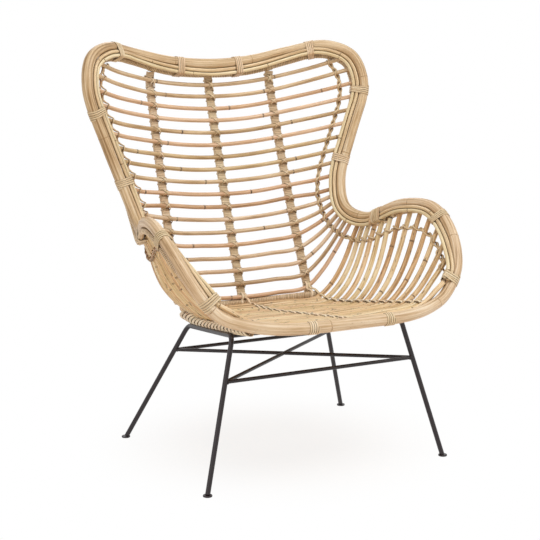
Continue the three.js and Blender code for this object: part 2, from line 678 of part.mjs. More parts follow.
function buildLegFrames() {
  const rail = [];
  for (let row = SEAT_CANES - 1; row >= 0; row--) {
    const point = standRail(onRail(seatY(row), 0).y);
    if (point.y > FRONT_CORNER.y + LEG_BEND && point.y < REAR_CORNER.y - LEG_BEND) rail.push(point);
  }
  const points = [
    FRONT_FLOOR,
    ...bend(FRONT_FLOOR, FRONT_CORNER, rail[0]),
    ...rail,
    ...bend(rail.at(-1), REAR_CORNER, REAR_FLOOR),
    REAR_FLOOR,
  ];
  for (const [name, side] of [['right_leg_frame', (p) => p], ['left_leg_frame', mirror]]) {
    const bent = tube(points.map(side), LEG_DIAMETER, ROD_SIDES, vec(0, 1, 0));
    const aboveFeet = toSolid(bent).trimByPlane([0, 0, 1], FOOT_HEIGHT + SEAT_GAP);
    addPiece(name, toGeometry(aboveFeet), STEEL);
  }
}

function barBetween(from, fromLeg, to, toLeg) {
  const direction = heading(from, to);
  const reach = LEG_DIAMETER / 2 + SEAT_GAP;
  const start = along(from, direction, stopShort(direction, fromLeg, reach, BAR_DIAMETER / 2));
  const end = along(to, direction, -stopShort(direction, toLeg, reach, BAR_DIAMETER / 2));
  return rod(start, end, BAR_DIAMETER);
}

function buildStretchers() {
  const frontLeg = heading(FRONT_FLOOR, FRONT_CORNER);
  const rearLeg = heading(REAR_FLOOR, REAR_CORNER);
  const front = stationAt(FRONT_FLOOR, FRONT_CORNER, FRONT_STRETCHER_HEIGHT);
  const rear = stationAt(REAR_FLOOR, REAR_CORNER, REAR_STRETCHER_HEIGHT);
  const bars = [
    barBetween(mirror(front), mirror(frontLeg), front, frontLeg),
    barBetween(mirror(rear), mirror(rearLeg), rear, rearLeg),
    barBetween(mirror(front), mirror(frontLeg), rear, rearLeg),
    barBetween(mirror(rear), mirror(rearLeg), front, frontLeg),
  ];
  addPiece('stretcher_frame', join(bars), STEEL);
}

function buildCrossRails() {
  const drop = BATTEN_DEPTH + BATTEN_DIAMETER / 2 + BAR_DIAMETER / 2 + REST_GAP;
  const railRun = heading(FRONT_CORNER, REAR_CORNER);
  const reach = LEG_DIAMETER / 2 + SEAT_GAP;
  const places = [['front_cross_rail', FRONT_LEG_Y + CROSS_RAIL_INSET]];
  places.push(['rear_cross_rail', REAR_LEG_Y - CROSS_RAIL_INSET]);
  for (const [name, y] of places) {
    const { z } = seatPoint(0, y, drop);
    const end = standRail(y).x - stopShort(vec(1, 0, 0), railRun, reach, BAR_DIAMETER / 2);
    addPiece(name, rod(vec(-end, y, z), vec(end, y, z), BAR_DIAMETER), STEEL);
  }
}

function buildFeet() {
  const radius = FOOT_DIAMETER / 2;
  const side = [[0, 0], [radius, 0], [radius, FOOT_HEIGHT - FOOT_CHAMFER]];
  const top = [[radius - FOOT_CHAMFER, FOOT_HEIGHT], [0, FOOT_HEIGHT]];
  const profile = [...side, ...top].map(([x, y]) => new THREE.Vector2(x, y));
  const feet = { front_right_foot: FRONT_FLOOR, front_left_foot: mirror(FRONT_FLOOR) };
  Object.assign(feet, { rear_right_foot: REAR_FLOOR, rear_left_foot: mirror(REAR_FLOOR) });
  for (const [name, floor] of Object.entries(feet)) {
    const foot = new THREE.LatheGeometry(profile, FOOT_SIDES).rotateX(Math.PI / 2);
    addPiece(name, foot.translate(floor.x, floor.y, 0), STEEL);
  }
}

// Windings: one strip round the rim and what lies along it, on a straight axis.
// Its corners are where the bundle's tangent lines meet, in as many directions as a loop has steps.
function corner(circles, step) {
  const lines = [step, step + 1].map((count) => {
    const turn = (2 * Math.PI * count) / LOOP_STEPS;
    const [x, y] = [-Math.sin(turn), Math.cos(turn)];
    const reach = circles.map(([cx, cy, radius]) => cx * x + cy * y + radius);
    return { x, y, reach: Math.max(...reach) + WRAP_GAP + STRIP_THICKNESS / 2 };
  });
  const [a, b] = lines;
  const scale = a.x * b.y - a.y * b.x;
  const place = [(a.reach * b.y - b.reach * a.y) / scale, (a.x * b.reach - b.x * a.reach) / scale];
  return { place, outward: new THREE.Vector2(a.x + b.x, a.y + b.y).normalize() };
}

// It starts and ends on the sitter's side, where it may sink into a trim after lying over the one inside it
function winding(arc, circles, start, loops, sink) {
  const frame = rimFrame(arc);
  const top = Math.max(...circles.map(([, y, radius]) => y + radius)) + WRAP_GAP + STRIP_THICKNESS / 2;
  const outward = new THREE.Vector2(0, 1);
  const stops = [{ place: [start, top - sink], outward, share: 0 }];
  for (let i = 0; i < loops * LOOP_STEPS; i++) {
    stops.push({ ...corner(circles, i), share: (i + 0.5) / LOOP_STEPS });
  }
  stops.push({ place: [start + TRIM_DIAMETER / 2, top], outward, share: loops - END_STEP / LOOP_STEPS });
  stops.push({ place: [start, top - sink], outward, share: loops });
  const world = (x, y) => frame.inward.clone().multiplyScalar(x).addScaledVector(frame.facing, y);
  const points = stops.map(({ place, share }) => {
    const onAxis = along(frame.point, frame.tangent, (share - loops / 2) * STRIP_PITCH);
    return onAxis.add(world(...place));
  });
  return { points, facing: stops.map((stop) => world(stop.outward.x, stop.outward.y)) };
}

let leastGap = Infinity;

function strip({ points, facing }) {
  points.forEach((point, i) => {
    for (const other of points.slice(i + LOOP_STEPS / 2)) {
      leastGap = Math.min(leastGap, point.distanceTo(other) - STRIP_WIDTH);
    }
  });
  return sweep(flatStrip(), points, facing);
}

function flatStrip() {
  const [w, t] = [STRIP_WIDTH / 2, STRIP_THICKNESS / 2];
  return new THREE.Shape([[-t, -w], [t, -w], [t, w], [-t, w]].map(([x, y]) => new THREE.Vector2(x, y)));
}

const mirrored = ({ points, facing }) => ({ points: points.map(mirror), facing: facing.map(mirror) });

// Round the rim, the trims and the hoop
function rimBinding(arc) {
  const [outer, inner, back] = [outerTrim(arc), innerTrim(arc), hoop(arc)];
  const circles = [
    [0, 0, RIM_DIAMETER / 2],
    [outer.inward, outer.across, TRIM_DIAMETER / 2],
    [inner.inward, inner.across, TRIM_DIAMETER / 2],
    [back.inward, back.across, HOOP_DIAMETER / 2],
  ];
  const loops = arc === SPLICE ? NOTCH_LOOPS : LOOPS;
  return winding(arc, circles, outer.inward - STRIP_OFFSET, loops, WRAP_GAP + STRIP_SINK);
}

function buildTrims() {
  const facing = facingRoundTop(TRIM_END);
  const trim = (place) => tube(roundTop(place, TRIM_END), TRIM_DIAMETER, TRIM_SIDES, facing);
  addPiece('inner_trim_cane', trim(innerTrim), PALE_CANE);
  addPiece('back_hoop', tube(roundTop(hoop, TRIM_END), HOOP_DIAMETER, CANE_SIDES, facing), STRIP);
  const pieces = [trim(outerTrim)];
  for (const [side, turned] of [['right', (wound) => wound], ['left', mirrored]]) {
    const low = [SPLICE, onArm(ARM_BINDING), LOW_BINDING];
    const places = [...TOP_BINDINGS[side], ...WING_BINDINGS[side].map(onWing), ...low];
    for (const arc of places) pieces.push(strip(turned(rimBinding(arc))));
  }
  addPiece('outer_trim_cane', join(pieces), PALE_CANE);
}

function buildFrontBindings() {
  const wound = winding(RIM_LENGTH - FRONT_BINDING, [[0, 0, RIM_DIAMETER / 2]], 0, LOOPS, 0);
  addPiece('right_front_binding', strip(wound), STRIP);
  addPiece('left_front_binding', strip(mirrored(wound)), STRIP);
}

buildRim();
buildTrims();
buildFrontBindings();
buildCanes();
buildSideCanes();
buildRibs();
buildSeatFrame();
buildSeatDeck();
buildLegFrames();
buildCrossRails();
buildStretchers();
buildFeet();
console.log(`least gap of a winding to itself ${leastGap.toFixed(2)} mm`);

// The origin is under the middle of the chair's box, on the floor
const box = new THREE.Box3().setFromObject(chair);
const middle = box.getCenter(vec(0, 0, 0));
chair.children.forEach((mesh) => mesh.geometry.translate(-middle.x, -middle.y, -box.min.z));

export default chair;
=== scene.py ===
# %% [markdown]
# # A winged rattan chair on a black steel stand
# The chair is a basket. A bent pole makes the rim, two pale canes trim it, and thinner canes run from one side of the
# rim to the other to make the back, the arms and the seat. Flat strips of split cane tie everything together.
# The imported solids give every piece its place. This lesson reads their centre lines and builds the real canes, strips
# and rods round the same lines.

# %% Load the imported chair
import math

import bpy
import numpy as np
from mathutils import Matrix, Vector


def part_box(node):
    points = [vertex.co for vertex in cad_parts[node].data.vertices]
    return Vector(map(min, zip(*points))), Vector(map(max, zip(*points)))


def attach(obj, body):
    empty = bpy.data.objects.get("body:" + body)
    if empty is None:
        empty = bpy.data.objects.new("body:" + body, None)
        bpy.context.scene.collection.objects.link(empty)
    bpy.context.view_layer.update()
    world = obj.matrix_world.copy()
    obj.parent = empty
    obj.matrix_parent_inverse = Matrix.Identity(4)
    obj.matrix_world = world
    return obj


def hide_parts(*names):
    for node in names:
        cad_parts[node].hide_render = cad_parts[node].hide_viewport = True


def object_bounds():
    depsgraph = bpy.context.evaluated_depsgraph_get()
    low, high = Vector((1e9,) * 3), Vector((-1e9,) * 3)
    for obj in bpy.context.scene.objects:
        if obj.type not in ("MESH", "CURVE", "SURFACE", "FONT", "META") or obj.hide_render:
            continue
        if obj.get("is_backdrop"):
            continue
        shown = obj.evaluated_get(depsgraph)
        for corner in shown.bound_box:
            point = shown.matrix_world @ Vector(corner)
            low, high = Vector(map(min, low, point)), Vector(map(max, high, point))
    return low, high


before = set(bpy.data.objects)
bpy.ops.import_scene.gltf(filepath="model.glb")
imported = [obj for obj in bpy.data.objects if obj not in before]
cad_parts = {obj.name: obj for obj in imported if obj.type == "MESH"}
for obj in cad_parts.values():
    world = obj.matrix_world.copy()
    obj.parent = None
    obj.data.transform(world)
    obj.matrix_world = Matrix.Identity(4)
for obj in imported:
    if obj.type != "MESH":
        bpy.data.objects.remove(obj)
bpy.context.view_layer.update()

MM = 0.001
UP = np.array([0.0, 0.0, 1.0])
SITTER = np.array([0.0, -1.0, 0.0])
chance = np.random.default_rng(11)  # seeded, so the same canes grow at every run

# %% [markdown]
# The camera comes first, so that every later render shows the photograph's view. It stands in front of the chair, to
# the left and a little above the seat, with a long lens: the chair's upright lines stay almost parallel.

# %% Camera
BEHIND_FRONT_FEET, MIDDLE_HEIGHT = 0.325, 0.491  # the chair's middle, in metres
CAMERA_FROM_MIDDLE = Vector((-1.566, -3.038, 0.589))
front_feet = [sum(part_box(f"front_{side}_foot"), Vector()) / 2 for side in ("left", "right")]
chair_middle = (front_feet[0] + front_feet[1]) / 2 + Vector((0, BEHIND_FRONT_FEET, 0))
chair_middle.z = MIDDLE_HEIGHT
bpy.ops.object.select_all(action="DESELECT")
bpy.ops.object.camera_add(location=chair_middle + CAMERA_FROM_MIDDLE)
camera = bpy.context.object
camera.rotation_euler = (chair_middle - camera.location).to_track_quat("-Z", "Y").to_euler()
camera.data.sensor_width = 36
camera.data.lens = 91.33
camera.data.shift_x = 0.0039
camera.data.shift_y = -0.0339
bpy.context.scene.camera = camera
print("camera at", camera.location)

# %% [markdown]
# ## Reading the lines of the canes
# A solid of a cane is a stack of rings with the same number of corners. Its flat end is found first: it is the
# smallest flat group of faces with that many corners. From there the rings follow each other from neighbour to
# neighbour, and the middle of each ring is a point of the cane's centre line.

# %% Merged corners of a solid
def unit(vectors):
    vectors = np.asarray(vectors, float)
    return vectors / np.linalg.norm(vectors, axis=-1, keepdims=True)


def solid_of(node):
    """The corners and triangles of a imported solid, with the corners that share a place merged."""
    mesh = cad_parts[node].data
    mesh.calc_loop_triangles()
    corners = np.array([v.co for v in mesh.vertices])
    faces = np.array([t.vertices for t in mesh.loop_triangles])
    points, place = np.unique(np.round(corners, 6), axis=0, return_inverse=True)
    return points, place.ravel()[faces]


# %% The flat end of a cane
def end_ring(points, faces, sides):
    same_plane = 1 - 1e-6
    sharing = {}
    for number, face in enumerate(faces):
        for k in range(3):
            sharing.setdefault(frozenset((face[k], face[k - 1])), []).append(number)
    a, b, c = (points[faces[:, k]] for k in range(3))
    normals = unit(np.cross(b - a, c - a))
    seen, ends = set(), []
    for first in range(len(faces)):
        flat = [] if first in seen else [first]
        seen.add(first)
        for number in flat:
            for k in range(3):
                for other in sharing[frozenset((faces[number][k], faces[number][k - 1]))]:
                    if other not in seen and normals[number] @ normals[other] > same_plane:
                        seen.add(other)
                        flat.append(other)
        corners = np.unique(faces[flat]) if flat else []
        if len(corners) == sides and len(flat) == sides - 2:
            spread = np.ptp(points[corners], axis=0).max()
            ends.append((spread, corners))
    return min(ends, key=lambda end: end[0])[1]


# %% Centre lines, ring by ring
def ring_middles(points, faces, start):
    beside = [set() for _ in points]
    for a, b, c in faces:
        beside[a] |= {b, c}
        beside[b] |= {a, c}
        beside[c] |= {a, b}
    ring = set(start)
    done = set(ring)
    middles = []
    while ring:
        middles.append(points[list(ring)].mean(0))
        ring = set().union(*(beside[p] for p in ring)) - done
        done |= ring
    return np.array(middles)


def line_of(node, sides, first):
    """The centre line of a cane's solid, starting at the end that lies furthest in the direction first."""
    points, faces = solid_of(node)
    line = ring_middles(points, faces, end_ring(points, faces, sides))
    return line if (line[0] - line[-1]) @ np.array(first) > 0 else line[::-1]


LEFT, TOP, FRONT = (-1, 0, 0), (0, 0, 1), (0, -1, 0)
BACK_CANES = [f"back_cane_{i:02d}" for i in range(1, 19)]
SEAT_CANES = [f"seat_cane_{i:02d}" for i in range(1, 15)]
RIB_SPOTS = {"left": 5, "centre": 7, "right": 9}  # the ribs, and which point of a back cane lies on each
stacks = [  # solids, the corners of their rings, and the end that comes first
    (BACK_CANES + SEAT_CANES + ["inner_trim_cane", "back_hoop"], 6, LEFT),
    (["back_rim_pole", "seat_rim_pole", "rear_seat_bar"], 8, LEFT),
    ([side + "_rib" for side in RIB_SPOTS], 8, TOP),
    (["left_seat_rail", "right_seat_rail"], 8, FRONT),
    (["left_side_cane", "right_side_cane"], 4, TOP),
]
lines = {name: line_of(name, sides, first) for names, sides, first in stacks for name in names}
print({name: len(line) for name, line in lines.items()})

# %% [markdown]
# A cane bends smoothly, so a smooth curve is drawn through the points of its line and divided evenly. Every point
# also gets three directions: along the cane, over it and beside it. The last two are carried along without a twist.

# %% Smooth lines and their directions
def travel_along(line):
    return np.r_[0, np.cumsum(np.linalg.norm(np.diff(line, axis=0), axis=1))]


def at_travel(line, travel, places):
    return np.column_stack([np.interp(places, travel, line[:, k]) for k in range(line.shape[1])])


def nearest(points, spot):
    """The number of the point that lies nearest to a spot."""
    return np.argmin(np.linalg.norm(points - spot, axis=1))


def smooth_line(points, step):
    """A smooth curve through the points, with a point about every step millimetres."""
    gaps = np.linalg.norm(np.diff(points, axis=0), axis=1)
    knots = np.r_[0, np.cumsum(gaps)]
    slopes = np.diff(points, axis=0) / gaps[:, None]
    inner = (slopes[:-1] * gaps[1:, None] + slopes[1:] * gaps[:-1, None]) / (gaps[1:] + gaps[:-1])[:, None]
    heading = np.vstack([slopes[:1], inner, slopes[-1:]])
    fine = np.linspace(0, knots[-1], 16 * len(points))
    spot = np.clip(np.searchsorted(knots, fine, side="right") - 1, 0, len(gaps) - 1)
    t = ((fine - knots[spot]) / gaps[spot])[:, None]
    reach = gaps[spot][:, None]
    curve = (2 * t**3 - 3 * t**2 + 1) * points[spot] + (t**3 - 2 * t**2 + t) * reach * heading[spot]
    curve += (3 * t**2 - 2 * t**3) * points[spot + 1] + (t**3 - t**2) * reach * heading[spot + 1]
    travel = travel_along(curve)
    count = max(2, round(travel[-1] / (step * MM)) + 1)
    return at_travel(curve, travel, np.linspace(0, travel[-1], count))


def directions(line, over):
    """Unit vectors along, over and beside a line. Over is one start direction, or one for each point."""
    along = unit(np.gradient(line, axis=0))
    over = np.asarray(over, float)
    kept = np.empty_like(line)
    current = over if over.ndim == 1 else None
    for i, ahead in enumerate(along):
        wanted = current if current is not None else over[i]
        kept[i] = unit(wanted - ahead * (wanted @ ahead))
        current = kept[i] if current is not None else None
    return along, kept, np.cross(along, kept)


print("a back cane is", round(travel_along(smooth_line(lines["back_cane_05"], 5))[-1] / MM), "mm long")

# %% [markdown]
# ## Finishes
# All rattan comes from one plant. The whole stem makes the poles and canes, and its split skin makes the strips. What
# differs is how much skin is left, so one recipe serves them all: long fibres along the stem, slow changes between
# straw, olive and pink, dark specks, and a dark broken line at each growth ring.
# The recipe needs to know where the fibres run on a bent cane. So every piece carries two attributes: straight is a
# point's place in the unbent stem, in millimetres, and grown holds the stem's tone, the distance from the nearest
# growth ring, and a second random number.

# %% One function for colours, one for nodes
def linear(text):
    parts = [int(text[i : i + 2], 16) / 255 for i in (1, 3, 5)]
    return tuple(p / 12.92 if p <= 0.04045 else ((p + 0.055) / 1.055) ** 2.4 for p in parts) + (1.0,)


def add_node(tree, kind, inputs=None, **settings):
    """Adds a shader node with its settings. Inputs are values or sockets, by name or number."""
    made = tree.nodes.new("ShaderNode" + kind)
    for name, value in settings.items():
        setattr(made, name, value)
    for name, value in (inputs or {}).items():
        if isinstance(value, bpy.types.NodeSocket):
            tree.links.new(value, made.inputs[name])
        else:
            made.inputs[name].default_value = value
    return made


# %% The recipe for rattan
LEANING = ("#EDE7CE", "#F9F6EA", "#FFFFFF", "#FCF1EA", "#F8E2D6")  # from olive stems to pink ones
# painted shade in the joints: its colour, and how far the occlusion reaches in millimetres
JOINT_SHADE, JOINT_SHADE_REACH = "#6A4A2E", 7
PATCH, GRAIN, RING_EDGE = (140, 30), (18, 0.6), (9, 3)  # length and width of a pattern, in millimetres


def rattan(name, tones, ring, fibre, specks, roughness, patchy, leaning):
    """A finish, with tones from the darkest to the palest.

    Ring is the colour and half width of a growth ring; on a strip it is the painted shade along its edges. Fibre is
    the length and width of the fibres, and specks their length, width and rarity.
    """
    material = bpy.data.materials.new(name)
    material.use_nodes = True
    tree = material.node_tree
    shader = tree.nodes["Principled BSDF"]
    place = add_node(tree, "Attribute", attribute_name="straight").outputs["Vector"]
    grown = add_node(tree, "Attribute", attribute_name="grown").outputs["Vector"]
    tone, from_ring, second = add_node(tree, "SeparateXYZ", {0: grown}).outputs

    sizes = {"fibres": fibre, "patches": PATCH, "specks": specks[:2], "grain": GRAIN, "ring": RING_EDGE}
    noise = {}
    for kind, (length, width) in sizes.items():
        stretch = (1 / length, 1 / width, 1 / width)
        spot = add_node(tree, "VectorMath", {0: place, 1: stretch}, operation="MULTIPLY")
        made = add_node(tree, "TexNoise", {"Vector": spot.outputs[0], "Scale": 1.0, "Detail": 2.0})
        noise[kind] = made.outputs["Fac"]

    # Tone of the whole stem, then its patches, then its fibres
    shade = add_node(tree, "Math", {0: tone, 1: 0.3, 2: 0.35}, operation="MULTIPLY_ADD").outputs[0]
    for kind, share in (("patches", 0.6 * patchy), ("fibres", 1.05), ("grain", 0.4)):
        middle = add_node(tree, "Math", {0: noise[kind], 1: 0.5}, operation="SUBTRACT").outputs[0]
        inputs = {0: middle, 1: share, 2: shade}
        shade = add_node(tree, "Math", inputs, operation="MULTIPLY_ADD").outputs[0]
    colours = []
    for factor, hexes, low, high in ((shade, tones, 0.22, 0.78), (second, LEANING, 0.0, 1.0)):
        ramp = add_node(tree, "ValToRGB", {0: factor})
        stops = ramp.color_ramp.elements
        while len(stops) < len(hexes):
            stops.new(1.0)
        for i, text in enumerate(hexes):
            stops[i].position = low + (high - low) * i / (len(hexes) - 1)
            stops[i].color = linear(text)
        colours.append(ramp.outputs[0])
    inputs = {0: leaning, 6: colours[0], 7: colours[1]}
    skin_colour = add_node(tree, "Mix", inputs, data_type="RGBA", blend_type="MULTIPLY").outputs[2]

    # Specks, the dark broken line of a growth ring, and on strips painted shade along their edges
    inputs = {"Value": noise["specks"], "From Min": specks[2], "From Max": specks[2] + 0.06, "To Max": 0.7}
    spotted = add_node(tree, "MapRange", inputs).outputs[0]
    uneven = add_node(tree, "Math", {0: noise["ring"], 1: 3.0, 2: -1.5}, operation="MULTIPLY_ADD").outputs[0]
    uneven = add_node(tree, "Math", {0: uneven, 1: from_ring}, operation="ADD").outputs[0]
    inputs = {"Value": uneven, "From Min": ring[1], "From Max": ring[1] + 1.1, "To Min": 1.0, "To Max": 0.0}
    near = add_node(tree, "MapRange", inputs).outputs[0]
    inputs = {"Value": noise["fibres"], "From Min": 0.36, "From Max": 0.56, "To Min": 0.15, "To Max": 0.95}
    broken = add_node(tree, "MapRange", inputs).outputs[0]
    ring_or_edge_shade = add_node(tree, "Math", {0: near, 1: broken}, operation="MULTIPLY").outputs[0]
    dark = add_node(tree, "Math", {0: spotted, 1: ring_or_edge_shade}, operation="MAXIMUM").outputs[0]
    inputs = {0: dark, 6: skin_colour, 7: linear(ring[0])}
    skin_colour = add_node(tree, "Mix", inputs, data_type="RGBA").outputs[2]

    # Painted shade: the colour darkens towards a dark brown where nearby surfaces close in, standing in for the shade
    # in the joints
    joint = add_node(tree, "AmbientOcclusion", {"Distance": JOINT_SHADE_REACH * MM}, samples=8).outputs["AO"]
    inputs = {"Value": joint, "From Min": 0.15, "From Max": 0.75, "To Min": 0.8, "To Max": 0.0}
    painted_joint_shade = add_node(tree, "MapRange", inputs).outputs[0]
    inputs = {0: painted_joint_shade, 6: skin_colour, 7: linear(JOINT_SHADE)}
    skin_colour = add_node(tree, "Mix", inputs, data_type="RGBA").outputs[2]
    tree.links.new(skin_colour, shader.inputs["Base Color"])

    inputs = {"Value": noise["fibres"], "To Min": roughness - 0.1, "To Max": roughness + 0.12}
    tree.links.new(add_node(tree, "MapRange", inputs).outputs[0], shader.inputs["Roughness"])
    inputs = {"Height": noise["grain"], "Strength": 0.35, "Distance": 0.3 * MM}
    tree.links.new(add_node(tree, "Bump", inputs).outputs[0], shader.inputs["Normal"])
    shader.inputs["IOR"].default_value = 1.5
    return material


# %% The five finishes of rattan
# Pole: thick stem with its skin scraped, smooth, with straw and brown streaks and faint growth rings.
POLE_TONES = ("#9C7A50", "#CCAC83", "#DFC5A1", "#EEDCC0")
pole_finish = rattan(
    "scraped_rattan_pole", POLE_TONES, ring=("#A07A50", 0.5), fibre=(170, 3.6), specks=(10, 1.5, 0.665),
    roughness=0.42, patchy=1.3, leaning=0.25)
# Trim: young pale stem with its skin on, the lightest and shiniest piece.
TRIM_TONES = ("#C6A87C", "#E6CFA5", "#F3E2BE", "#FAF0D8")
trim_finish = rattan(
    "pale_rattan_trim", TRIM_TONES, ring=("#8A6844", 0.9), fibre=(110, 2.2), specks=(7, 1.6, 0.74),
    roughness=0.36, patchy=0.7, leaning=0.4)
# Cane: thinner stems, each of its own tone from straw to olive and pink, with bold dark growth rings.
CANE_TONES = ("#AC8C66", "#D0B28D", "#E1C7A6", "#EFDCC2")
cane_finish = rattan(
    "natural_rattan_cane", CANE_TONES, ring=("#4A3528", 1.7), fibre=(90, 2.4), specks=(7, 1.8, 0.70),
    roughness=0.44, patchy=1.2, leaning=1.0)
# Seat cane: thicker yellow stems, scraped and worn bright, with long streaks and broad dark marks.
SEAT_TONES = ("#B08A58", "#D8B787", "#E9CFA2", "#F5E4C2")
seat_finish = rattan(
    "scraped_rattan_seat_cane", SEAT_TONES, ring=("#54391F", 1.5), fibre=(120, 2.8), specks=(16, 4.6, 0.63),
    roughness=0.4, patchy=1.2, leaning=0.7)
# Strip: split skin, fine straight fibres, with edges painted darker as painted shade between turns.
STRIP_TONES = ("#B0906A", "#D7BC95", "#E7D1AD", "#F4E5C9")
strip_finish = rattan(
    "split_cane_strip", STRIP_TONES, ring=("#7C6044", 0.9), fibre=(60, 1.0), specks=(6, 1.6, 0.76),
    roughness=0.46, patchy=0.8, leaning=0.5)

# %% Powder-coated steel
# Baked black powder: satin, with a fine orange-peel that softens the lights.
steel_finish = bpy.data.materials.new("black_powder_coated_steel")
steel_finish.use_nodes = True
tree = steel_finish.node_tree
shader = tree.nodes["Principled BSDF"]
where = add_node(tree, "TexCoord").outputs["Object"]
PEEL, WEAR = 1.2 * MM, 45 * MM  # size of the grains of powder, and of rubbed places
peel = add_node(tree, "TexNoise", {"Vector": where, "Scale": 1 / PEEL, "Detail": 1.0}).outputs["Fac"]
wear = add_node(tree, "TexNoise", {"Vector": where, "Scale": 1 / WEAR, "Detail": 3.0}).outputs["Fac"]
mix = {0: wear, 6: linear("#190F11"), 7: linear("#271B1E")}
mixed = add_node(tree, "Mix", mix, data_type="RGBA").outputs[2]
tree.links.new(mixed, shader.inputs["Base Color"])
inputs = {"Value": wear, "To Min": 0.3, "To Max": 0.46}
tree.links.new(add_node(tree, "MapRange", inputs).outputs[0], shader.inputs["Roughness"])
inputs = {"Height": peel, "Strength": 0.25, "Distance": 0.15 * MM}
tree.links.new(add_node(tree, "Bump", inputs).outputs[0], shader.inputs["Normal"])
shader.inputs["IOR"].default_value = 1.5
print([m.name for m in bpy.data.materials])

# %% [markdown]
# ## Rolling a piece
# A cane could be a curve with a round bevel, but the finish needs the attributes of the unbent stem. So a cane starts
# as a flat grid, with a row of points for each ring. The rows are laid round the cane's line, the seam is merged, the
# ends are filled and the faces are turned outwards. Several strands may share one grid: the faces that would join the
# end of one strand to the start of the next are deleted.

# %% Skin: from strands to a piece
def skin(name, strands, finish, slot, *nodes):
    """Makes one piece of strands. A strand is (rings, straight, grown), each one row for a ring, then its corners."""
    rings, straight, grown = (np.concatenate([s[k] for s in strands]) for k in range(3))
    rows, sides = rings.shape[:2]
    bpy.ops.object.select_all(action="DESELECT")
    bpy.ops.mesh.primitive_grid_add(x_subdivisions=rows - 1, y_subdivisions=sides, size=1, location=(0, 0, 0))
    piece = bpy.context.object
    piece.name = name
    mesh = piece.data
    mesh.name = name
    seam = np.r_[np.arange(sides), 0]
    laid = [values[:, seam].transpose(1, 0, 2).astype(np.float32).ravel() for values in (rings, straight, grown)]
    mesh.vertices.foreach_set("co", laid[0])
    for key, values in (("straight", laid[1]), ("grown", laid[2])):
        mesh.attributes.new(key, "FLOAT_VECTOR", "POINT").data.foreach_set("vector", values)

    starts = np.cumsum([len(s[0]) for s in strands])[:-1]
    corners = np.empty(len(mesh.loops), np.int32)
    mesh.loops.foreach_get("vertex_index", corners)
    bridging = np.isin((corners.reshape(-1, 4) % rows).max(1), starts)
    mesh.vertices.foreach_set("select", np.zeros(len(mesh.vertices), bool))
    mesh.edges.foreach_set("select", np.zeros(len(mesh.edges), bool))
    mesh.polygons.foreach_set("select", bridging)
    bpy.context.tool_settings.mesh_select_mode = (False, False, True)
    bpy.ops.object.mode_set(mode="EDIT")
    if bridging.any():
        bpy.ops.mesh.delete(type="FACE")
    bpy.ops.mesh.select_all(action="SELECT")
    bpy.ops.mesh.remove_doubles(threshold=0.001 * MM)
    bpy.ops.mesh.fill_holes(sides=0)
    bpy.ops.mesh.select_all(action="SELECT")
    bpy.ops.mesh.normals_make_consistent(inside=False)
    bpy.ops.object.mode_set(mode="OBJECT")
    bpy.ops.object.shade_smooth_by_angle(angle=math.radians(55))
    mesh.materials.append(finish)
    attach(piece, "root")
    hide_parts(*nodes)
    print(f"{name}: {len(strands)} strands, {len(mesh.polygons)} faces")


# %% [markdown]
# A stem isn't a perfect tube. It swells a little at its growth rings, its thickness changes slowly, and it wanders a
# fraction of a millimetre. The rows of points are closer at the growth rings, so that these show as real ridges.

# %% A cane as a strand
RIDGE = np.array([-6, -2.5, -1.2, 0, 1.2, 2.5, 6])  # rows of points at a growth ring
RIDGE_HEIGHT, RIDGE_WIDTH, UNEVEN = 0.33, 2.2, 0.012


def circle_of(count):
    """Across and up, for corners spread evenly round a circle."""
    turn = 2 * np.pi * np.arange(count) / count
    return np.cos(turn), np.sin(turn)


def rings_round(line, across, up, beside, over):
    """Corners beside and over each point of a line, in millimetres."""
    return line[:, None] + MM * (across[..., None] * beside[:, None] + up[..., None] * over[:, None])


def cane(line, radius, sides, ring_gap, step=8.0, wander=0.6, tone=None):
    """A stem round a line. Radius, one or one for each point, ring gap, step and wander are in millimetres."""
    fine = smooth_line(line, 2.0)
    travel = travel_along(fine) / MM
    radii = np.broadcast_to(radius, len(line))
    spots = chance.uniform(0.15, 1.0) * ring_gap + np.r_[0, np.cumsum(chance.uniform(0.7, 1.3, 40) * ring_gap)]
    spots = spots[spots < travel[-1] - 8]
    even = np.linspace(0, travel[-1], max(2, round(travel[-1] / step) + 1))
    places = np.sort(np.r_[even, (spots[:, None] + RIDGE).ravel()]) if len(spots) else even
    places = places[(places >= 0) & (places <= travel[-1])]
    places = places[np.r_[True, np.diff(places) > 0.3]]
    middle = at_travel(fine, travel, places)
    _, over, beside = directions(middle, UP)
    from_ring = np.abs(places[:, None] - spots).min(1) if len(spots) else np.full(len(places), 99.0)
    phase = chance.uniform(0, 2 * np.pi, 4)
    slow = np.sin(places / 70 + phase[0]) + 0.6 * np.sin(places / 31 + phase[1])
    thick = np.interp(places / travel[-1], np.linspace(0, 1, len(radii)), radii)
    thick = thick * (1 + UNEVEN * slow) + RIDGE_HEIGHT * np.exp(-((from_ring / RIDGE_WIDTH) ** 2))
    drift = wander * np.sin(places / 55 + phase[2]), wander * np.sin(places / 43 + phase[3])
    middle = middle + MM * (drift[0][:, None] * over + drift[1][:, None] * beside)
    across, up = (thick[:, None] * wave for wave in circle_of(sides))
    rings = rings_round(middle, across, up, beside, over)
    start = chance.uniform(0, 5000)
    straight = np.stack([np.broadcast_to((places + start)[:, None], across.shape), across, up], axis=2)
    tone = chance.uniform(0, 1) if tone is None else tone
    grown = np.empty_like(rings)
    grown[..., 0], grown[..., 2] = tone, chance.uniform(0, 1)
    grown[..., 1] = np.minimum(from_ring, 40)[:, None]
    return rings, straight, grown


# %% [markdown]
# ## The rim
# Two bent poles make the rim: one round the back and the wings, one round the arms and the front. They butt together
# in the notches, under a binding.

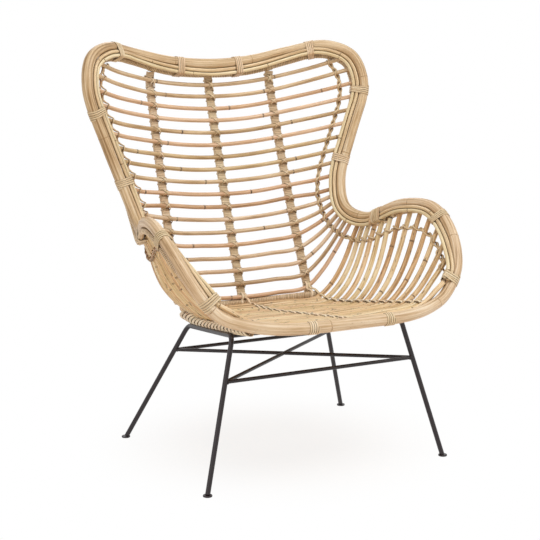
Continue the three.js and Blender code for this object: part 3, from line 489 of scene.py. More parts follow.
# %% Rim poles
RIM_POLE = 14.0
for node in ("back_rim_pole", "seat_rim_pole"):
    skin("rattan_" + node, [cane(lines[node], RIM_POLE, 24, 290, 7.0, 0.0)], pole_finish, "rattan_pole", node)

# %% [markdown]
# The rim's two poles are read as one loop from the middle of the front, so that a binding in a notch can go round
# both ends. Places at the top are given by their distance from its middle, to the left and to the right.

# %% The rim as one loop
seat_half = len(lines["seat_rim_pole"]) // 2
front_to_right = lines["seat_rim_pole"][seat_half:-1]
left_to_front = lines["seat_rim_pole"][1 : seat_half + 1]
rim = smooth_line(np.vstack([front_to_right, lines["back_rim_pole"][::-1], left_to_front]), 1.0)
rim_travel = travel_along(rim) / MM
_, rim_over, rim_beside = directions(rim, SITTER)
TOP_ABOVE = 0.8
top_middle = rim_travel[np.argmin(np.where(rim[:, 2] > TOP_ABOVE, np.abs(rim[:, 0]), np.inf))]


def rim_place(point):
    return rim_travel[nearest(rim, point)]


print("rim", round(rim_travel[-1]), "mm round, the top middle at", round(top_middle))

# %% [markdown]
# Two pale trims lie side by side on the sitter's side of the rim, and a hoop lies behind them. The inner trim and the
# hoop have their own solids. The outer trim lies in the groove between the rim and the inner trim, so its middle is
# where a circle round the rim and a circle round the inner trim meet, away from the hoop.

# %% Outer and inner trim
inner_trim = smooth_line(lines["inner_trim_cane"], 4.0)
hoop = smooth_line(lines["back_hoop"], 4.0)
near_rim = rim[[nearest(rim, p) for p in inner_trim]]
near_hoop = hoop[[nearest(hoop, p) for p in inner_trim]]
TRIM, TRIM_SKIN = 5.0, 4.7  # their radius with the joint between them, and without
FROM_RIM, FROM_INNER = (RIM_POLE + 0.3 + TRIM) * MM, (2 * TRIM + 0.3) * MM
apart = np.linalg.norm(inner_trim - near_rim, axis=1)
share = (apart**2 + FROM_RIM**2 - FROM_INNER**2) / (2 * apart)
outward = unit(inner_trim - near_rim)
ahead = unit(np.gradient(inner_trim, axis=0))
sideways = unit(np.cross(ahead, outward))
away = np.sign(((near_rim - near_hoop) * sideways).sum(1))[:, None]
rise = np.sqrt(np.maximum(FROM_RIM**2 - share**2, 0))
outer_trim = near_rim + share[:, None] * outward + rise[:, None] * sideways * away
print("trims", round(apart.min() / MM, 1), "to", round(apart.max() / MM, 1), "mm from the rim's middle")
for name, line in (("outer", outer_trim), ("inner", inner_trim)):
    stem = cane(line, TRIM_SKIN, 14, 260, 5.0, 0.0)
    skin(f"pale_{name}_trim", [stem], trim_finish, "pale_cane", name + "_trim_cane")

# %% A dark cane behind the trims: painted shade
# A thin cane in the joint behind the two, painted dark so that it stands in for the shade there and closes the gap
SHADE_CANE, SHADE_CANE_DEPTH = 2.5, 2.8
# painted shade: a tone darker than any stem's own, for stems that stand in for shade
PAINTED_SHADE_TONE = -1.5  # tone of a stem in deep shade
behind = unit(np.cross(ahead, outer_trim - inner_trim))
behind *= np.sign((behind * (near_hoop - inner_trim)).sum(1))[:, None]
shade_cane_line = (outer_trim + inner_trim) / 2 + SHADE_CANE_DEPTH * MM * behind
stem = cane(shade_cane_line, SHADE_CANE, 6, 400, 8.0, 0.0, tone=PAINTED_SHADE_TONE)
skin("rattan_trim_shade_cane", [stem], cane_finish, "rattan_cane", "inner_trim_cane")

# %% [markdown]
# ## Strips of split cane
# A strip is flat with a slightly domed face. It lies on what it is wound on, so its path is the middle of its
# underside, and at each point it needs to know which way is out. Its edges are painted dark, as painted shade where
# one turn meets the next, so it carries the distance from its edges where a cane carries the distance from its growth
# rings.

# %% A strip as a strand
DOMED = np.array([[-0.5, 0.0], [-0.45, 0.7], [-0.17, 1.0], [0.17, 1.0], [0.45, 0.7], [0.5, 0.0]])
FLAT = np.array([[-0.5, 0.0], [-0.42, 0.85], [0.0, 1.0], [0.42, 0.85], [0.5, 0.0]])


def strip(path, out, width, thick, section=DOMED, tone=None):
    """A strip on a path, its face turned out. Width and thickness are in millimetres."""
    _, out, beside = directions(path, out)
    travel = travel_along(path) / MM
    across, up = section[:, 0] * width, section[:, 1] * thick
    rings = rings_round(path, across, up, beside, out)
    shape = rings.shape[:2]
    start, lane = chance.uniform(0, 5000), chance.uniform(0, 50)
    columns = [(travel + start)[:, None], across + lane, up]
    straight = np.stack([np.broadcast_to(c, shape) for c in columns], axis=2)
    grown = np.empty_like(rings)
    grown[..., 0] = chance.uniform(0, 1) if tone is None else tone
    # painted shade: the distance from the edges, which the finish darkens like a growth ring
    grown[..., 1] = 4.4 * (0.5 - np.abs(section[:, 0])) * width
    grown[..., 2] = chance.uniform(0, 1)
    return rings, straight, grown


def eased(path, out, step=2.5):
    """A smooth path through a few chosen points, with their outward directions."""
    path, out = np.array(path), np.array(out)
    line = smooth_line(path, step)
    travel = travel_along(path)
    return line, at_travel(out, travel, np.linspace(0, travel[-1], len(line)))


# %% [markdown]
# A strip is wound round a core by walking round the core's outline and a little further along with each step. The
# outline of several canes tied together is the tight loop round their circles, as a rubber band would lie.

# %% Winding
def band_round(circles, count):
    """The tight loop round circles (x, y, radius), by the direction that each of its points faces."""
    out = np.column_stack(circle_of(count))
    middles, radii = np.array(circles)[:, :2], np.array(circles)[:, 2]
    furthest = (out @ middles.T + radii).argmax(1)
    return middles[furthest] + radii[furthest][:, None] * out, out


def circle(radius, count):
    return band_round([(0, 0, radius)], count)


def wound(line, over, outline, pitch, width, thick, turns=None, begin=0.0, tone=None):
    """A strip wound round a line: outline is its points and outward directions (beside, over), in millimetres."""
    travel = travel_along(line) / MM
    _, over, beside = directions(line, over)
    turns = (travel[-1] - begin) / pitch if turns is None else turns
    points, out = outline
    steps = np.arange(round(turns * len(points)) + 1)
    places = begin + steps * pitch / len(points)
    at = lambda values: at_travel(values, travel, places)
    spot, way = points[steps % len(points)], out[steps % len(points)]
    path = at(line) + MM * (spot[:, :1] * at(beside) + spot[:, 1:] * at(over))
    return strip(path, way[:, :1] * at(beside) + way[:, 1:] * at(over), width, thick, tone=tone)


# %% [markdown]
# The hoop behind the rim is a thin cane wound from end to end, turn against turn. Along the top it was tied by eye,
# closer to the rim in some places than in others, and the tops of the ribs go with it.

# %% Wound hoop
HOOP, HOOP_STRIP = 7.0, 1.5
ACROSS = (-330, -270, -230, -110, 10, 110, 200, 268, 340, 380)  # places along the top, from the left
TOWARDS_RIM = (0, 8, 8, 0, -5, -3, 2, 6, 0, -5)
TOP_BEGINS, TOP_EASE = 800, 60
hoop_core = HOOP - HOOP_STRIP
rim_side = rim[[nearest(rim, p) for p in hoop]]
pull = np.interp(hoop[:, 0] / MM, ACROSS, TOWARDS_RIM) * np.clip((hoop[:, 2] / MM - TOP_BEGINS) / TOP_EASE, 0, 1)
pulled = MM * pull[:, None] * unit(rim_side - hoop)
for side in RIB_SPOTS:
    rib = lines[side + "_rib"]
    rib[0] += pulled[nearest(hoop, rib[0])]
hoop = hoop + pulled
skin("rattan_hoop_core", [cane(hoop, hoop_core, 10, 300, 8.0, 0.0)], cane_finish, "rattan_cane", "back_hoop")
turns = wound(hoop, UP, circle(hoop_core, 12), 4.9, 4.3, HOOP_STRIP)
skin("strip_hoop_winding", [turns], strip_finish, "cane_strip", "back_hoop")

# %% [markdown]
# Bindings hold the rim, the trims and the hoop together: four turns of strip, pulled tight. The two on the front edge
# go round the pole alone. A cane leaves the bundle a little further along than it meets the rim, so a binding between
# two canes is placed where they leave. Nobody measured when tying: the left side differs from the right.

# %% Bindings of the rim
BUNDLE = 0.33  # of the way from a cane's end to its side lashing, where it leaves the bundle
SLACK, BINDING_THICK = 0.2, 1.5  # slack is the room between a binding and what it holds


def beside_rim(line, place):
    """Where a line passes the rim at a place: millimetres beside and over the rim's middle."""
    spot = np.argmin(np.abs(rim_travel - place))
    offset = line[nearest(line, rim[spot])] - rim[spot]
    return offset @ rim_beside[spot] / MM, offset @ rim_over[spot] / MM


def binding(place, alone=False, turns=4.3, pitch=5.2, width=4.6, lift=0.0):
    """Strip wound round the bundle. A negative pitch leans the other way, and lift puts it over another binding."""
    circles = [(0, 0, RIM_POLE + SLACK + lift)]
    if not alone:
        held = ((outer_trim, TRIM + 0.1), (inner_trim, TRIM + 0.1), (hoop, HOOP + SLACK))
        circles += [(*beside_rim(line, place), radius + lift) for line, radius in held]
    spread = np.abs(rim_travel - place) < turns * abs(pitch) / 2 + 3
    line, over = rim[spread], rim_over[spread]
    begin = (travel_along(line)[-1] / MM - turns * pitch) / 2
    tone = chance.uniform(0.3, 0.8)
    return wound(line, over, band_round(circles, 28), pitch, width, BINDING_THICK, turns, begin, tone)


def between_canes(kind, number, side):
    """The place on the rim between a cane and the next one, where they leave the bundle."""
    near = 0 if side == "left" else -1
    tied = 1 if side == "left" else -2
    pair = [lines[f"{kind}_cane_{i:02d}"] for i in (number, number + 1)]
    return np.mean([rim_place(line[near] + BUNDLE * (line[tied] - line[near])) for line in pair])


ROUND_TOP = {"left": (94, 302), "right": (-76, -290)}
ON_WING = {"left": (4, 9), "right": (3, 8)}
FROM_TRIM_END, FROM_FRONT_MIDDLE = 13.7, 100.7
bindings = []
for side in ("left", "right"):
    down = 1 if side == "left" else -1
    places = [top_middle + along for along in ROUND_TOP[side]]
    places += [between_canes("back", number, side) for number in ON_WING[side]]
    places.append(between_canes("seat", 10, side))
    places.append(rim_place(inner_trim[0 if side == "left" else -1]) - down * FROM_TRIM_END)
    bindings += [binding(place) for place in places]
    front = rim_travel[-1] - FROM_FRONT_MIDDLE if side == "left" else FROM_FRONT_MIDDLE
    bindings.append(binding(front, alone=True))
    # The notch, where two poles meet, has a broad wrap under slanting turns that cross it
    notch = between_canes("seat", 4, side)
    bindings.append(binding(notch, turns=4.0, pitch=8.6, width=8.4))
    for shift in (-9.3, -3.1, 3.1, 9.3):
        bindings.append(binding(notch + shift, turns=1.0, pitch=24.0 * down, width=6.0, lift=1.4))
solids = ("outer_trim_cane", "right_front_binding", "left_front_binding")
skin("strip_rim_bindings", bindings, strip_finish, "cane_strip", *solids)

# %% [markdown]
# ## Back, arms and seat
# The back has 18 canes from wing to wing. The seat has 14 thicker ones, which rise at both sides to make the arms.
# Each is its own piece, with its own tone and growth rings.

# %% Back canes and seat canes
BACK_CANE, SEAT_CANE = 5.5, 6.25
for name in BACK_CANES:
    skin("rattan_" + name, [cane(lines[name], BACK_CANE, 12, 300)], cane_finish, "rattan_cane", name)
for name in SEAT_CANES:
    skin("rattan_" + name, [cane(lines[name], SEAT_CANE, 14, 260, 7.0)], seat_finish, "rattan_cane", name)

# %% [markdown]
# Between the seat canes lie 26 short fillers that close the seat. Two share each gap, so each is half as thick as the
# gap is wide, and they taper where the canes draw together. They end over the rails under the seat's sides. A batten
# under the middle of the seat carries them.

# %% Seat fillers and batten
OVERHANG, JOINT = 2.0, 0.25
BATTEN, BATTEN_DROP = 6.0, 13.05
rail = smooth_line(lines["right_seat_rail"], 4.0)
rail_x = lambda y: np.interp(y, rail[:, 1], rail[:, 0])
seat_canes = [smooth_line(lines[name], 3.0) for name in SEAT_CANES]
seat_rows = []  # every cane and filler from the rear to the front: its line, and its radius at each point
for row in range(len(seat_canes)):
    seat_rows.append((seat_canes[row], np.full(len(seat_canes[row]), SEAT_CANE)))
    if row == len(seat_canes) - 1:
        break
    y = np.mean([np.interp(0, c[:, 0], c[:, 1]) for c in seat_canes[row : row + 2]])
    reach = rail_x(y) + OVERHANG * MM
    x = np.linspace(-reach, reach, 61)
    rear, fore = (at_travel(c, c[:, 0], x) for c in seat_canes[row : row + 2])
    ahead = unit(np.gradient((rear + fore) / 2, axis=0))
    apart = (rear - fore) - ahead * ((rear - fore) * ahead).sum(1, keepdims=True)
    room = np.linalg.norm(apart, axis=1) / MM - 2 * SEAT_CANE
    radius = room / 4 - JOINT
    for number in (1, 3):
        share = (SEAT_CANE + room * number / 4) / (2 * SEAT_CANE + room)
        middle = rear + (fore - rear) * share[:, None] + MM * (SEAT_CANE - radius)[:, None] * UP
        seat_rows.append((middle, radius))
fillers = [cane(line, radius, 10, 330, 9.0, 0.0) for i, (line, radius) in enumerate(seat_rows) if i % 3]
skin("rattan_seat_fillers", fillers, seat_finish, "rattan_cane", "seat_deck")
middles = np.array([c[np.argmin(np.abs(c[:, 0]))] for c in seat_canes])
batten = smooth_line(middles - BATTEN_DROP * MM * UP, 5.0)
skin("rattan_seat_batten", [cane(batten, BATTEN, 12, 250)], pole_finish, "rattan_pole", "seat_deck")

# %% [markdown]
# Poles carry the seat: a rail under each side, and a wound bar along the rear edge that lies on the rails.

# %% Rails and rear bar
REACH_BACK = np.array([0, 25 * MM, 0])  # the rails run on under the last back cane
RAIL, BAR, STRIP_THICK, BAR_RISE = 7.0, 9.5, 1.1, 2.0
for node in ("right_seat_rail", "left_seat_rail"):
    lines[node] = np.vstack([lines[node], lines[node][-1] + REACH_BACK])
    # painted shade: the rail core gets the shade tone so the slots in its braid read dark
    stem = cane(lines[node], RAIL, 16, 260, 7.0, 0.0, tone=PAINTED_SHADE_TONE)
    skin("rattan_" + node, [stem], pole_finish, "rattan_pole", node)
bar = smooth_line(lines["rear_seat_bar"], 4.0) + BAR_RISE * MM * UP
bar_core = BAR - STRIP_THICK
skin("rattan_rear_bar_core", [cane(bar, bar_core, 12, 400)], pole_finish, "rattan_pole", "rear_seat_bar")
turns = wound(bar, UP, circle(bar_core, 14), 4.6, 4.2, STRIP_THICK)
skin("strip_rear_bar_winding", [turns], strip_finish, "cane_strip", "rear_seat_bar")

# %% [markdown]
# Three ribs stand behind the back canes. Each is a flat batten, wound with narrow strip from top to bottom.

# %% Wound ribs
RIB_STRIP, RIB_TONE = 0.7, (0.3, 40, 0.2)
rib_wide, rib_thick, rib_round = 11 - RIB_STRIP, 5 - RIB_STRIP, 2.2  # half of each, and the corners' radius
rib_circles = [
    (x, y, rib_round)
    for x in (rib_round - rib_wide, rib_wide - rib_round)
    for y in (rib_round - rib_thick, rib_thick - rib_round)
]
rib_facing = {}
for side, spot in RIB_SPOTS.items():
    name = side + "_rib"
    canes = np.array([lines[cane_name][spot] for cane_name in BACK_CANES])
    facing = unit(canes - lines[name][1:-1])
    facing = np.vstack([facing[:1], facing, facing[-1:]])
    rib_facing[name] = facing
    line = smooth_line(lines[name], 3.0)
    travel = travel_along(lines[name])
    over = at_travel(facing, travel, np.linspace(0, travel[-1], len(line)))
    outline = band_round(rib_circles, 16)
    turns = wound(line, over, outline, 4.7, 4.5, RIB_STRIP)
    skin(f"strip_{name}_winding", [turns], strip_finish, "cane_strip", name)
    core_points = outline[0]
    _, over, beside = directions(line, over)
    rings = rings_round(line, *core_points.T, beside, over)
    flat = np.broadcast_to(core_points, (len(line), *core_points.shape))
    run = np.broadcast_to((travel_along(line) / MM)[:, None, None], (len(line), len(core_points), 1))
    grown = np.broadcast_to(np.array(RIB_TONE), rings.shape)
    core = (rings, np.concatenate([run, flat], axis=2), grown)
    skin(f"rattan_{name}_core", [core], pole_finish, "rattan_pole", name)

# %% [markdown]
# ## Lashings
# Every crossing of a cane and a rib is tied with one strip. It runs over the cane from corner to corner, behind the
# rib, and over the cane again the other way, so that it shows as a cross.

# %% A crossed lashing
def cross_lash(middle, cane_way, bar_way, face, cane_radius, bar_half, bar_front, bar_back, reach, width, thick=1.0):
    """A closed strip round a crossing. Bar half width, its front and back depth and the reach are in millimetres."""
    cane_way = unit(cane_way - face * (cane_way @ face))
    bar_way = unit(bar_way - face * (bar_way @ face))
    path, out = [], []
    for layer, lean in ((0.2, -1), (thick + 0.1, 1)):
        radius = cane_radius + layer
        far = math.hypot(reach, bar_front)
        grip = math.atan2(-bar_front, reach) + math.acos(min(1.0, radius / far))
        path.append([-bar_half, -lean * reach, -bar_front])
        out.append([-0.7, 0, 0.7])
        for turn in np.linspace(grip, np.pi - grip, 5):
            down, up = radius * math.cos(turn), radius * math.sin(turn)
            path.append([-bar_half * down / reach, -lean * down, up])
            out.append([0, -lean * math.cos(turn), math.sin(turn)])
        for edge, depth in ((1, bar_front), (1, bar_back), (-1, bar_back)):
            path.append([edge * bar_half, lean * reach, -depth])
            out.append([0.7 * edge, 0, 0.7 if depth == bar_front else -0.7])
    path.append(path[0])
    out.append(out[0])
    basis = np.array([cane_way, bar_way, face])
    return strip(middle + MM * np.array(path) @ basis, np.array(out) @ basis, width, thick, FLAT)


# %% Lashings on the ribs
LASH_HALF, LASH_FRONT, LASH_BACK = 10.8, 6.0, 16.6
FIRST_LASH, OTHER_LASH = (15.0, 4.6), (8.4, 3.9)  # reach and width
for side, spot in RIB_SPOTS.items():
    rib = lines[side + "_rib"]
    ties = []
    for row, name in enumerate(BACK_CANES, 1):
        line = lines[name]
        cane_way, bar_way = line[spot + 1] - line[spot - 1], rib[row + 1] - rib[row - 1]
        face = rib_facing[side + "_rib"][row]
        size = (LASH_HALF, LASH_FRONT, LASH_BACK, *(FIRST_LASH if row == 1 else OTHER_LASH))
        ties.append(cross_lash(line[spot], cane_way, bar_way, face, BACK_CANE, *size))
    skin(f"strip_{side}_rib_lashings", ties, strip_finish, "cane_strip", side + "_rib")

# %% [markdown]
# At its top each rib is tied round the hoop. At its bottom two strips fan out over the last cane: one goes down round
# the rear bar, the other runs forward to the place where the seat's stitches begin.

# %% Ends of the ribs
ends_of_ribs = []
for side, spot in RIB_SPOTS.items():
    rib, face = lines[side + "_rib"], rib_facing[side + "_rib"][18]
    close = nearest(hoop, rib[0])
    held = hoop[close - 6 : close + 7]
    begin = travel_along(held)[-1] / MM / 2 - 10
    ends_of_ribs.append(wound(held, UP, circle(HOOP + SLACK, 12), 4.9, 4.6, STRIP_THICK, 4.2, begin))
    tied = lines["back_cane_18"][spot]
    up = unit(rib[-3] - rib[-2])
    beneath = lambda row: row[np.argmin(np.abs(row[:, 0] - tied[0]))]
    tops = [beneath(row) + MM * (radius.max() + 0.4) * UP for row, radius in seat_rows[:4]]
    before = lambda rise, depth: tied + MM * (rise * up + depth * face)
    beside = MM * np.cross(up, face)
    low = beneath(bar)
    start = [before(13, -5.6), before(4, 5.4), before(-4, 5.6)]
    down = start + [low + MM * (BAR + 0.8) * unit(way) for way in (face + UP, face - 0.4 * UP, -UP)]
    ahead = start + [(start[-1] + tops[0]) / 2 + 3 * MM * UP, tops[0], tops[2], tops[3] - 6 * MM * UP]
    for path, shift in ((down, -10), (ahead, 5)):
        path = np.array(path) + np.linspace(0.3, 1, len(path))[:, None] * shift * beside
        ends_of_ribs.append(strip(*eased(path, [face + 0.3 * UP] * len(path)), 6.4, 1.7, tone=0.9))
skin("strip_rib_ends", ends_of_ribs, strip_finish, "cane_strip", "left_rib", "centre_rib", "right_rib")

# %% [markdown]
# Beside the trims the canes are tied to each other. A thin cane runs behind them, and two strips are twined along it:
# at every cane one strip passes before it and the other behind, and at the next they have changed places.

# %% Twined side lashings
CORE = 2.2
tied_canes = BACK_CANES + SEAT_CANES[:-1]
for side, spot in (("left", 1), ("right", 13)):
    node = side + "_side_cane"
    core = lines[node]
    tied = np.array([lines[name][spot] for name in tied_canes])
    face, down = unit(tied - core), unit(np.gradient(core, axis=0))
    across = np.cross(down, face)
    depth = np.linalg.norm(tied - core, axis=1) / MM
    gaps = np.linalg.norm(np.diff(core, axis=0), axis=1) / MM
    strands = []
    for first in (0, 1):
        path, out = [], []
        for k, name in enumerate(tied_canes):
            radius = BACK_CANE if name.startswith("back") else SEAT_CANE
            edge = min(radius + 3.5, 0.42 * gaps[max(k - 1, 0) : k + 1].min())
            over = depth[k] + radius + 0.4
            if k % 2 == first:
                stops = [(-edge, -4.0, depth[k] - 2), (-0.45 * radius, -2.0, over), (0.45 * radius, 2.0, over)]
                stops += [(edge, 4.0, depth[k] - 2)]
            else:
                stops = [(-edge, 4.0, 1.0), (0, 0, -CORE - 1.3), (edge, -4.0, 1.0)]
            lane = 1.6 if k % 2 == first else -1.6
            if k < len(gaps):
                stops.append((gaps[k] / 2, lane, CORE + 0.4))
            for reach, shift, lift in stops:
                path.append(core[k] + MM * (reach * down[k] + shift * across[k] + lift * face[k]))
                out.append(face[k])
        strands.append(strip(*eased(path, out), 5.2, 2.8, tone=0.35))
    skin("pale_" + node, [cane(core, CORE, 8, 300, 6.0, 0.0, tone=0.0)], cane_finish, "rattan_cane", node)
    skin(f"strip_{side}_side_lashings", strands, strip_finish, "cane_strip", node)

# %% [markdown]
# The seat is sewn to the rails and to the batten. On top a chain of paired stitches shows. Outside the rails the
# strips that come up from below lie in pairs, bent like arrows, and the rail shows in slots between the pairs, painted
# dark as painted shade.

# %% Stitches of the seat
# Points of a stitch: the share of the way to the next cane, then millimetres beside and above the canes' tops
STITCH = np.array([[0.05, 0.6, -3.6], [0.2, 1.6, -0.4], [0.5, 3.6, 0.1], [0.8, 5.6, -0.4], [0.97, 6.6, -3.2]])


def stitches(x_of, width=5.6, thick=2.6):
    """A chain of paired stitches: both come up beside a cane, spread, and go down at the next cane."""
    tops = [c[np.argmin(np.abs(c[:, 0] - x_of(c)))] + MM * SEAT_CANE * UP for c in seat_canes[1:]]
    chain = []
    for rear, fore in zip(tops, tops[1:]):
        for lean in (-1, 1):
            aside = MM * np.column_stack([lean * STITCH[:, 1], np.zeros(len(STITCH)), STITCH[:, 2]])
            path = rear + STITCH[:, :1] * (fore - rear) + aside
            chain.append(strip(*eased(path, [UP] * len(path)), width, thick, tone=1.3))
    return chain


BRAID, BRAID_SLANT = 9.6, 19  # radius, and how far a strip runs on before it bends back


def braid(line, side, pitch=24.0, width=7.4):
    """Pairs of strips round a rail, from its inner top to its underside, bent back halfway like an arrow."""
    _, over, beside = directions(line, UP)
    travel = travel_along(line) / MM
    outward = beside * np.sign(beside[:, :1] * side)
    turns = np.radians(np.linspace(125, -115, 13))
    strips = []
    begins = np.arange(10, travel[-1] - 30, pitch)
    for begin in np.sort(np.r_[begins, begins + width]):
        places = begin + BRAID_SLANT * (1 - np.abs(turns) / turns[0])
        middle, up, out = (at_travel(values, travel, places) for values in (line, over, outward))
        way = np.cos(turns)[:, None] * out + np.sin(turns)[:, None] * up
        strips.append(strip(middle + MM * BRAID * way, way, width, 2.6, tone=1.7))
    return strips


for side, way in (("right", 1), ("left", -1)):
    line = smooth_line(lines[side + "_seat_rail"], 3.0)
    sewn = stitches(lambda row: way * rail_x(row[:, 1].mean())) + braid(line, way)
    skin(f"strip_{side}_rail_stitches", sewn, strip_finish, "cane_strip", side + "_seat_rail")
skin("strip_batten_stitches", stitches(lambda row: 0.0), strip_finish, "cane_strip", "seat_deck")

# %% [markdown]
# ## The stand
# Two rods bent like staples make the legs, and thinner bars are welded between them. A rod could be a bevelled curve;
# here it is rolled like the canes, without growth rings, so that its bends stay round.

# %% A rod as a strand
def rod(line, radius, sides=16):
    _, over, beside = directions(line, np.array([0.0, 1.0, 0.1]))
    across, up = circle_of(sides)
    rings = rings_round(line, radius * across, radius * up, beside, over)
    return rings, rings / MM, np.zeros_like(rings)


def bent_rod(points):
    """A rod's line, straight between its bends: a long stretch gets a point close to each of its ends."""
    line = [points[0]]
    for a, b in zip(points[:-1], points[1:]):
        if np.linalg.norm(b - a) > 40 * MM:
            way = 10 * MM * unit(b - a)
            line += [a + way, b - way]
        line.append(b)
    return smooth_line(np.array(line), 4.0)


# %% Leg frames
LEG = 6.0
leg_lines = {}
for side in ("right", "left"):
    node = side + "_leg_frame"
    points, faces = solid_of(node)
    start = np.flatnonzero((points[:, 2] < 5 * MM) & (points[:, 1] < 0))
    line = ring_middles(points, faces, start)
    # The points between the ends of the top are left out, so that the rod runs straight there
    top = np.flatnonzero(np.diff(line[:, 1]) > 25 * MM)[1:-1]
    leg_lines[side] = np.vstack([line[: top[0] + 1], line[top[-1] + 1 :]])
    skin("steel_" + node, [rod(bent_rod(leg_lines[side]), LEG)], steel_finish, "black_steel", node)
    print(side, "leg line", len(leg_lines[side]), "points")

# %% Cross rails, stretchers and their weld beads
def on_leg(side, rear, height):
    foot, bend = (leg_lines[side][-1], leg_lines[side][-2]) if rear else leg_lines[side][:2]
    return foot + (bend - foot) * (height - foot[2]) / (bend[2] - foot[2])


def bead(middle, way, radius):
    """The lumpy ring of a weld, where a bar meets a rod."""
    turn = np.linspace(0, 2 * np.pi, 19)
    side = unit(np.cross(way, UP + 0.01))
    up = np.cross(side, way)
    lump = radius + 0.5 * chance.uniform(-1, 1, 19)
    lump[-1] = lump[0]
    path = middle + MM * lump[:, None] * (np.cos(turn)[:, None] * side + np.sin(turn)[:, None] * up)
    return rod(path, 1.5, 6)


STRETCHER, FRONT_HEIGHT, REAR_HEIGHT = 4.5, 0.250, 0.244
INTO_LEG, BEAD_AT = 4 * MM, 6.4 * MM
front_pair = [on_leg(side, False, FRONT_HEIGHT) for side in ("left", "right")]
rear_pair = [on_leg(side, True, REAR_HEIGHT) for side in ("left", "right")]
ends = [front_pair, rear_pair, (front_pair[0], rear_pair[1]), (rear_pair[0], front_pair[1])]
bars, beads = [], []
for start, end in ends:
    way = unit(end - start)
    bars.append(rod(smooth_line(np.array([start + INTO_LEG * way, end - INTO_LEG * way]), 30.0), STRETCHER))
    beads += [bead(spot, way, STRETCHER + 0.1) for spot in (start + BEAD_AT * way, end - BEAD_AT * way)]
skin("steel_stretchers", bars, steel_finish, "black_steel", "stretcher_frame")
skin("steel_weld_beads", beads, steel_finish, "black_steel", "stretcher_frame")
for node in ("front_cross_rail", "rear_cross_rail"):
    low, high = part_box(node)
    middle = (low + high) / 2
    line = np.array([[low.x - 2 * MM, middle.y, middle.z], [high.x + 2 * MM, middle.y, middle.z]])
    skin("steel_" + node, [rod(smooth_line(line, 30.0), STRETCHER)], steel_finish, "black_steel", node)

# %% [markdown]
# Each leg ends in a round disc that is welded under it. A cylinder gives the disc its size, and a bevel rounds both
# of its edges.

# %% Feet
FOOT, FOOT_THICK, FOOT_EDGE = 11 * MM, 4 * MM, 1.2 * MM
for node in ("front_right_foot", "front_left_foot", "rear_right_foot", "rear_left_foot"):
    low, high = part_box(node)
    middle = (low + high) / 2
    bpy.ops.object.select_all(action="DESELECT")
    bpy.ops.mesh.primitive_cylinder_add(vertices=40, radius=FOOT, depth=FOOT_THICK, location=middle)
    foot = bpy.context.object
    foot.name = "steel_" + node
    bpy.ops.object.transform_apply(location=True, rotation=True, scale=True)
    bpy.ops.object.mode_set(mode="EDIT")
    bpy.ops.mesh.select_all(action="SELECT")
    bpy.ops.mesh.bevel(offset=FOOT_EDGE, segments=3, affect="EDGES")
    bpy.ops.mesh.normals_make_consistent(inside=False)
    bpy.ops.object.mode_set(mode="OBJECT")
    bpy.ops.object.shade_smooth_by_angle(angle=math.radians(40))
    foot.data.materials.append(steel_finish)
    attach(foot, "root")
    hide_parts(node)
    print(foot.name, len(foot.data.polygons), "faces")

# %% [markdown]
# ## Studio
# The photograph was taken on white paper under large soft lamps. The floor is a pale diffuse sheet. To the camera it
# shows mostly plain white, with a share of its lit surface near the chair, so that the shadow stays as faint as it is
# in the photograph and fades out into the white around it.

# %% Rays that show the background
def seen_directly(tree):
    """Whether a ray comes from the camera, straight or by way of a shiny or clear surface."""
    rays = add_node(tree, "LightPath").outputs
    seen = rays["Is Camera Ray"]
    for kind in ("Is Glossy Ray", "Is Transmission Ray"):
        seen = add_node(tree, "Math", {0: seen, 1: rays[kind]}, operation="MAXIMUM").outputs[0]
    return seen


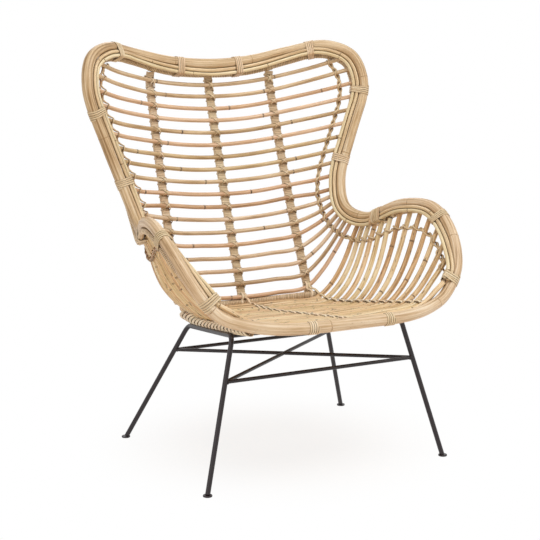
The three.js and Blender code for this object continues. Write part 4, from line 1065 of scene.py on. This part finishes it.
# %% Floor
WHITE = linear("#FFFFFF")
bpy.ops.object.select_all(action="DESELECT")
bpy.ops.mesh.primitive_plane_add(size=60, location=(0, 0, -0.0005))
floor = bpy.context.object
floor.name = "studio_floor"
paper = bpy.data.materials.new("white_studio_paper")
paper.use_nodes = True
tree = paper.node_tree
tree.nodes.remove(tree.nodes["Principled BSDF"])
where = add_node(tree, "TexCoord").outputs["Object"]
away = add_node(tree, "VectorMath", {0: where}, operation="LENGTH").outputs["Value"]
FADE_FROM, FADE_TO, WHITEST = 0.08, 0.52, 0.8  # metres from the middle, and the share of white there
inputs = {"Value": away, "From Min": FADE_FROM, "From Max": FADE_TO, "To Min": WHITEST, "To Max": 1.0}
share = add_node(tree, "MapRange", inputs, interpolation_type="SMOOTHSTEP").outputs[0]
share = add_node(tree, "Math", {0: seen_directly(tree), 1: share}, operation="MULTIPLY").outputs[0]
lit = add_node(tree, "BsdfDiffuse", {"Color": linear("#FEF0E2")}).outputs[0]
white = add_node(tree, "Emission", {"Color": WHITE, "Strength": 1.0}).outputs[0]
shown = add_node(tree, "MixShader", {0: share, 1: lit, 2: white}).outputs[0]
tree.links.new(shown, tree.nodes["Material Output"].inputs["Surface"])
floor.data.materials.append(paper)
floor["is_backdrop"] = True

# %% World and lamps
scene = bpy.context.scene
scene.world = scene.world or bpy.data.worlds.new("studio")
scene.world.use_nodes = True
tree = scene.world.node_tree
tree.nodes.clear()
SOFT_LIGHT = 0.42
soft = add_node(tree, "Background", {"Color": WHITE, "Strength": SOFT_LIGHT}).outputs[0]
white = add_node(tree, "Background", {"Color": WHITE, "Strength": 1.0}).outputs[0]
shown = add_node(tree, "MixShader", {0: seen_directly(tree), 1: soft, 2: white}).outputs[0]
tree.links.new(shown, add_node(tree, "OutputWorld").inputs["Surface"])
lamps = (  # place, size across in metres, power in watts
    ("key", (0.2, -1.45, 3.7), 2.4, 61),
    ("left", (-2.6, -1.3, 1.7), 2.4, 16),
    ("fill", (2.6, -1.6, 2.2), 2.4, 20),
    ("rear", (0.6, 2.4, 2.6), 2.0, 18),
)
for name, place, size, power in lamps:
    bpy.ops.object.light_add(type="AREA", location=place)
    lamp = bpy.context.object
    lamp.name = "lamp_" + name
    lamp.data.shape = "DISK"
    lamp.data.size = size
    lamp.data.energy = power
    lamp.rotation_euler = (chair_middle - lamp.location).to_track_quat("-Z", "Y").to_euler()
scene.view_settings.view_transform = "Standard"
print("lamps", [name for name, *_ in lamps])

# %% [markdown]
# ## Size
# The dressed chair has to stay in the box of its solids, so the box of the dressed chair is printed.

# %% Finish
low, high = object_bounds()
print("visual box", low, high)
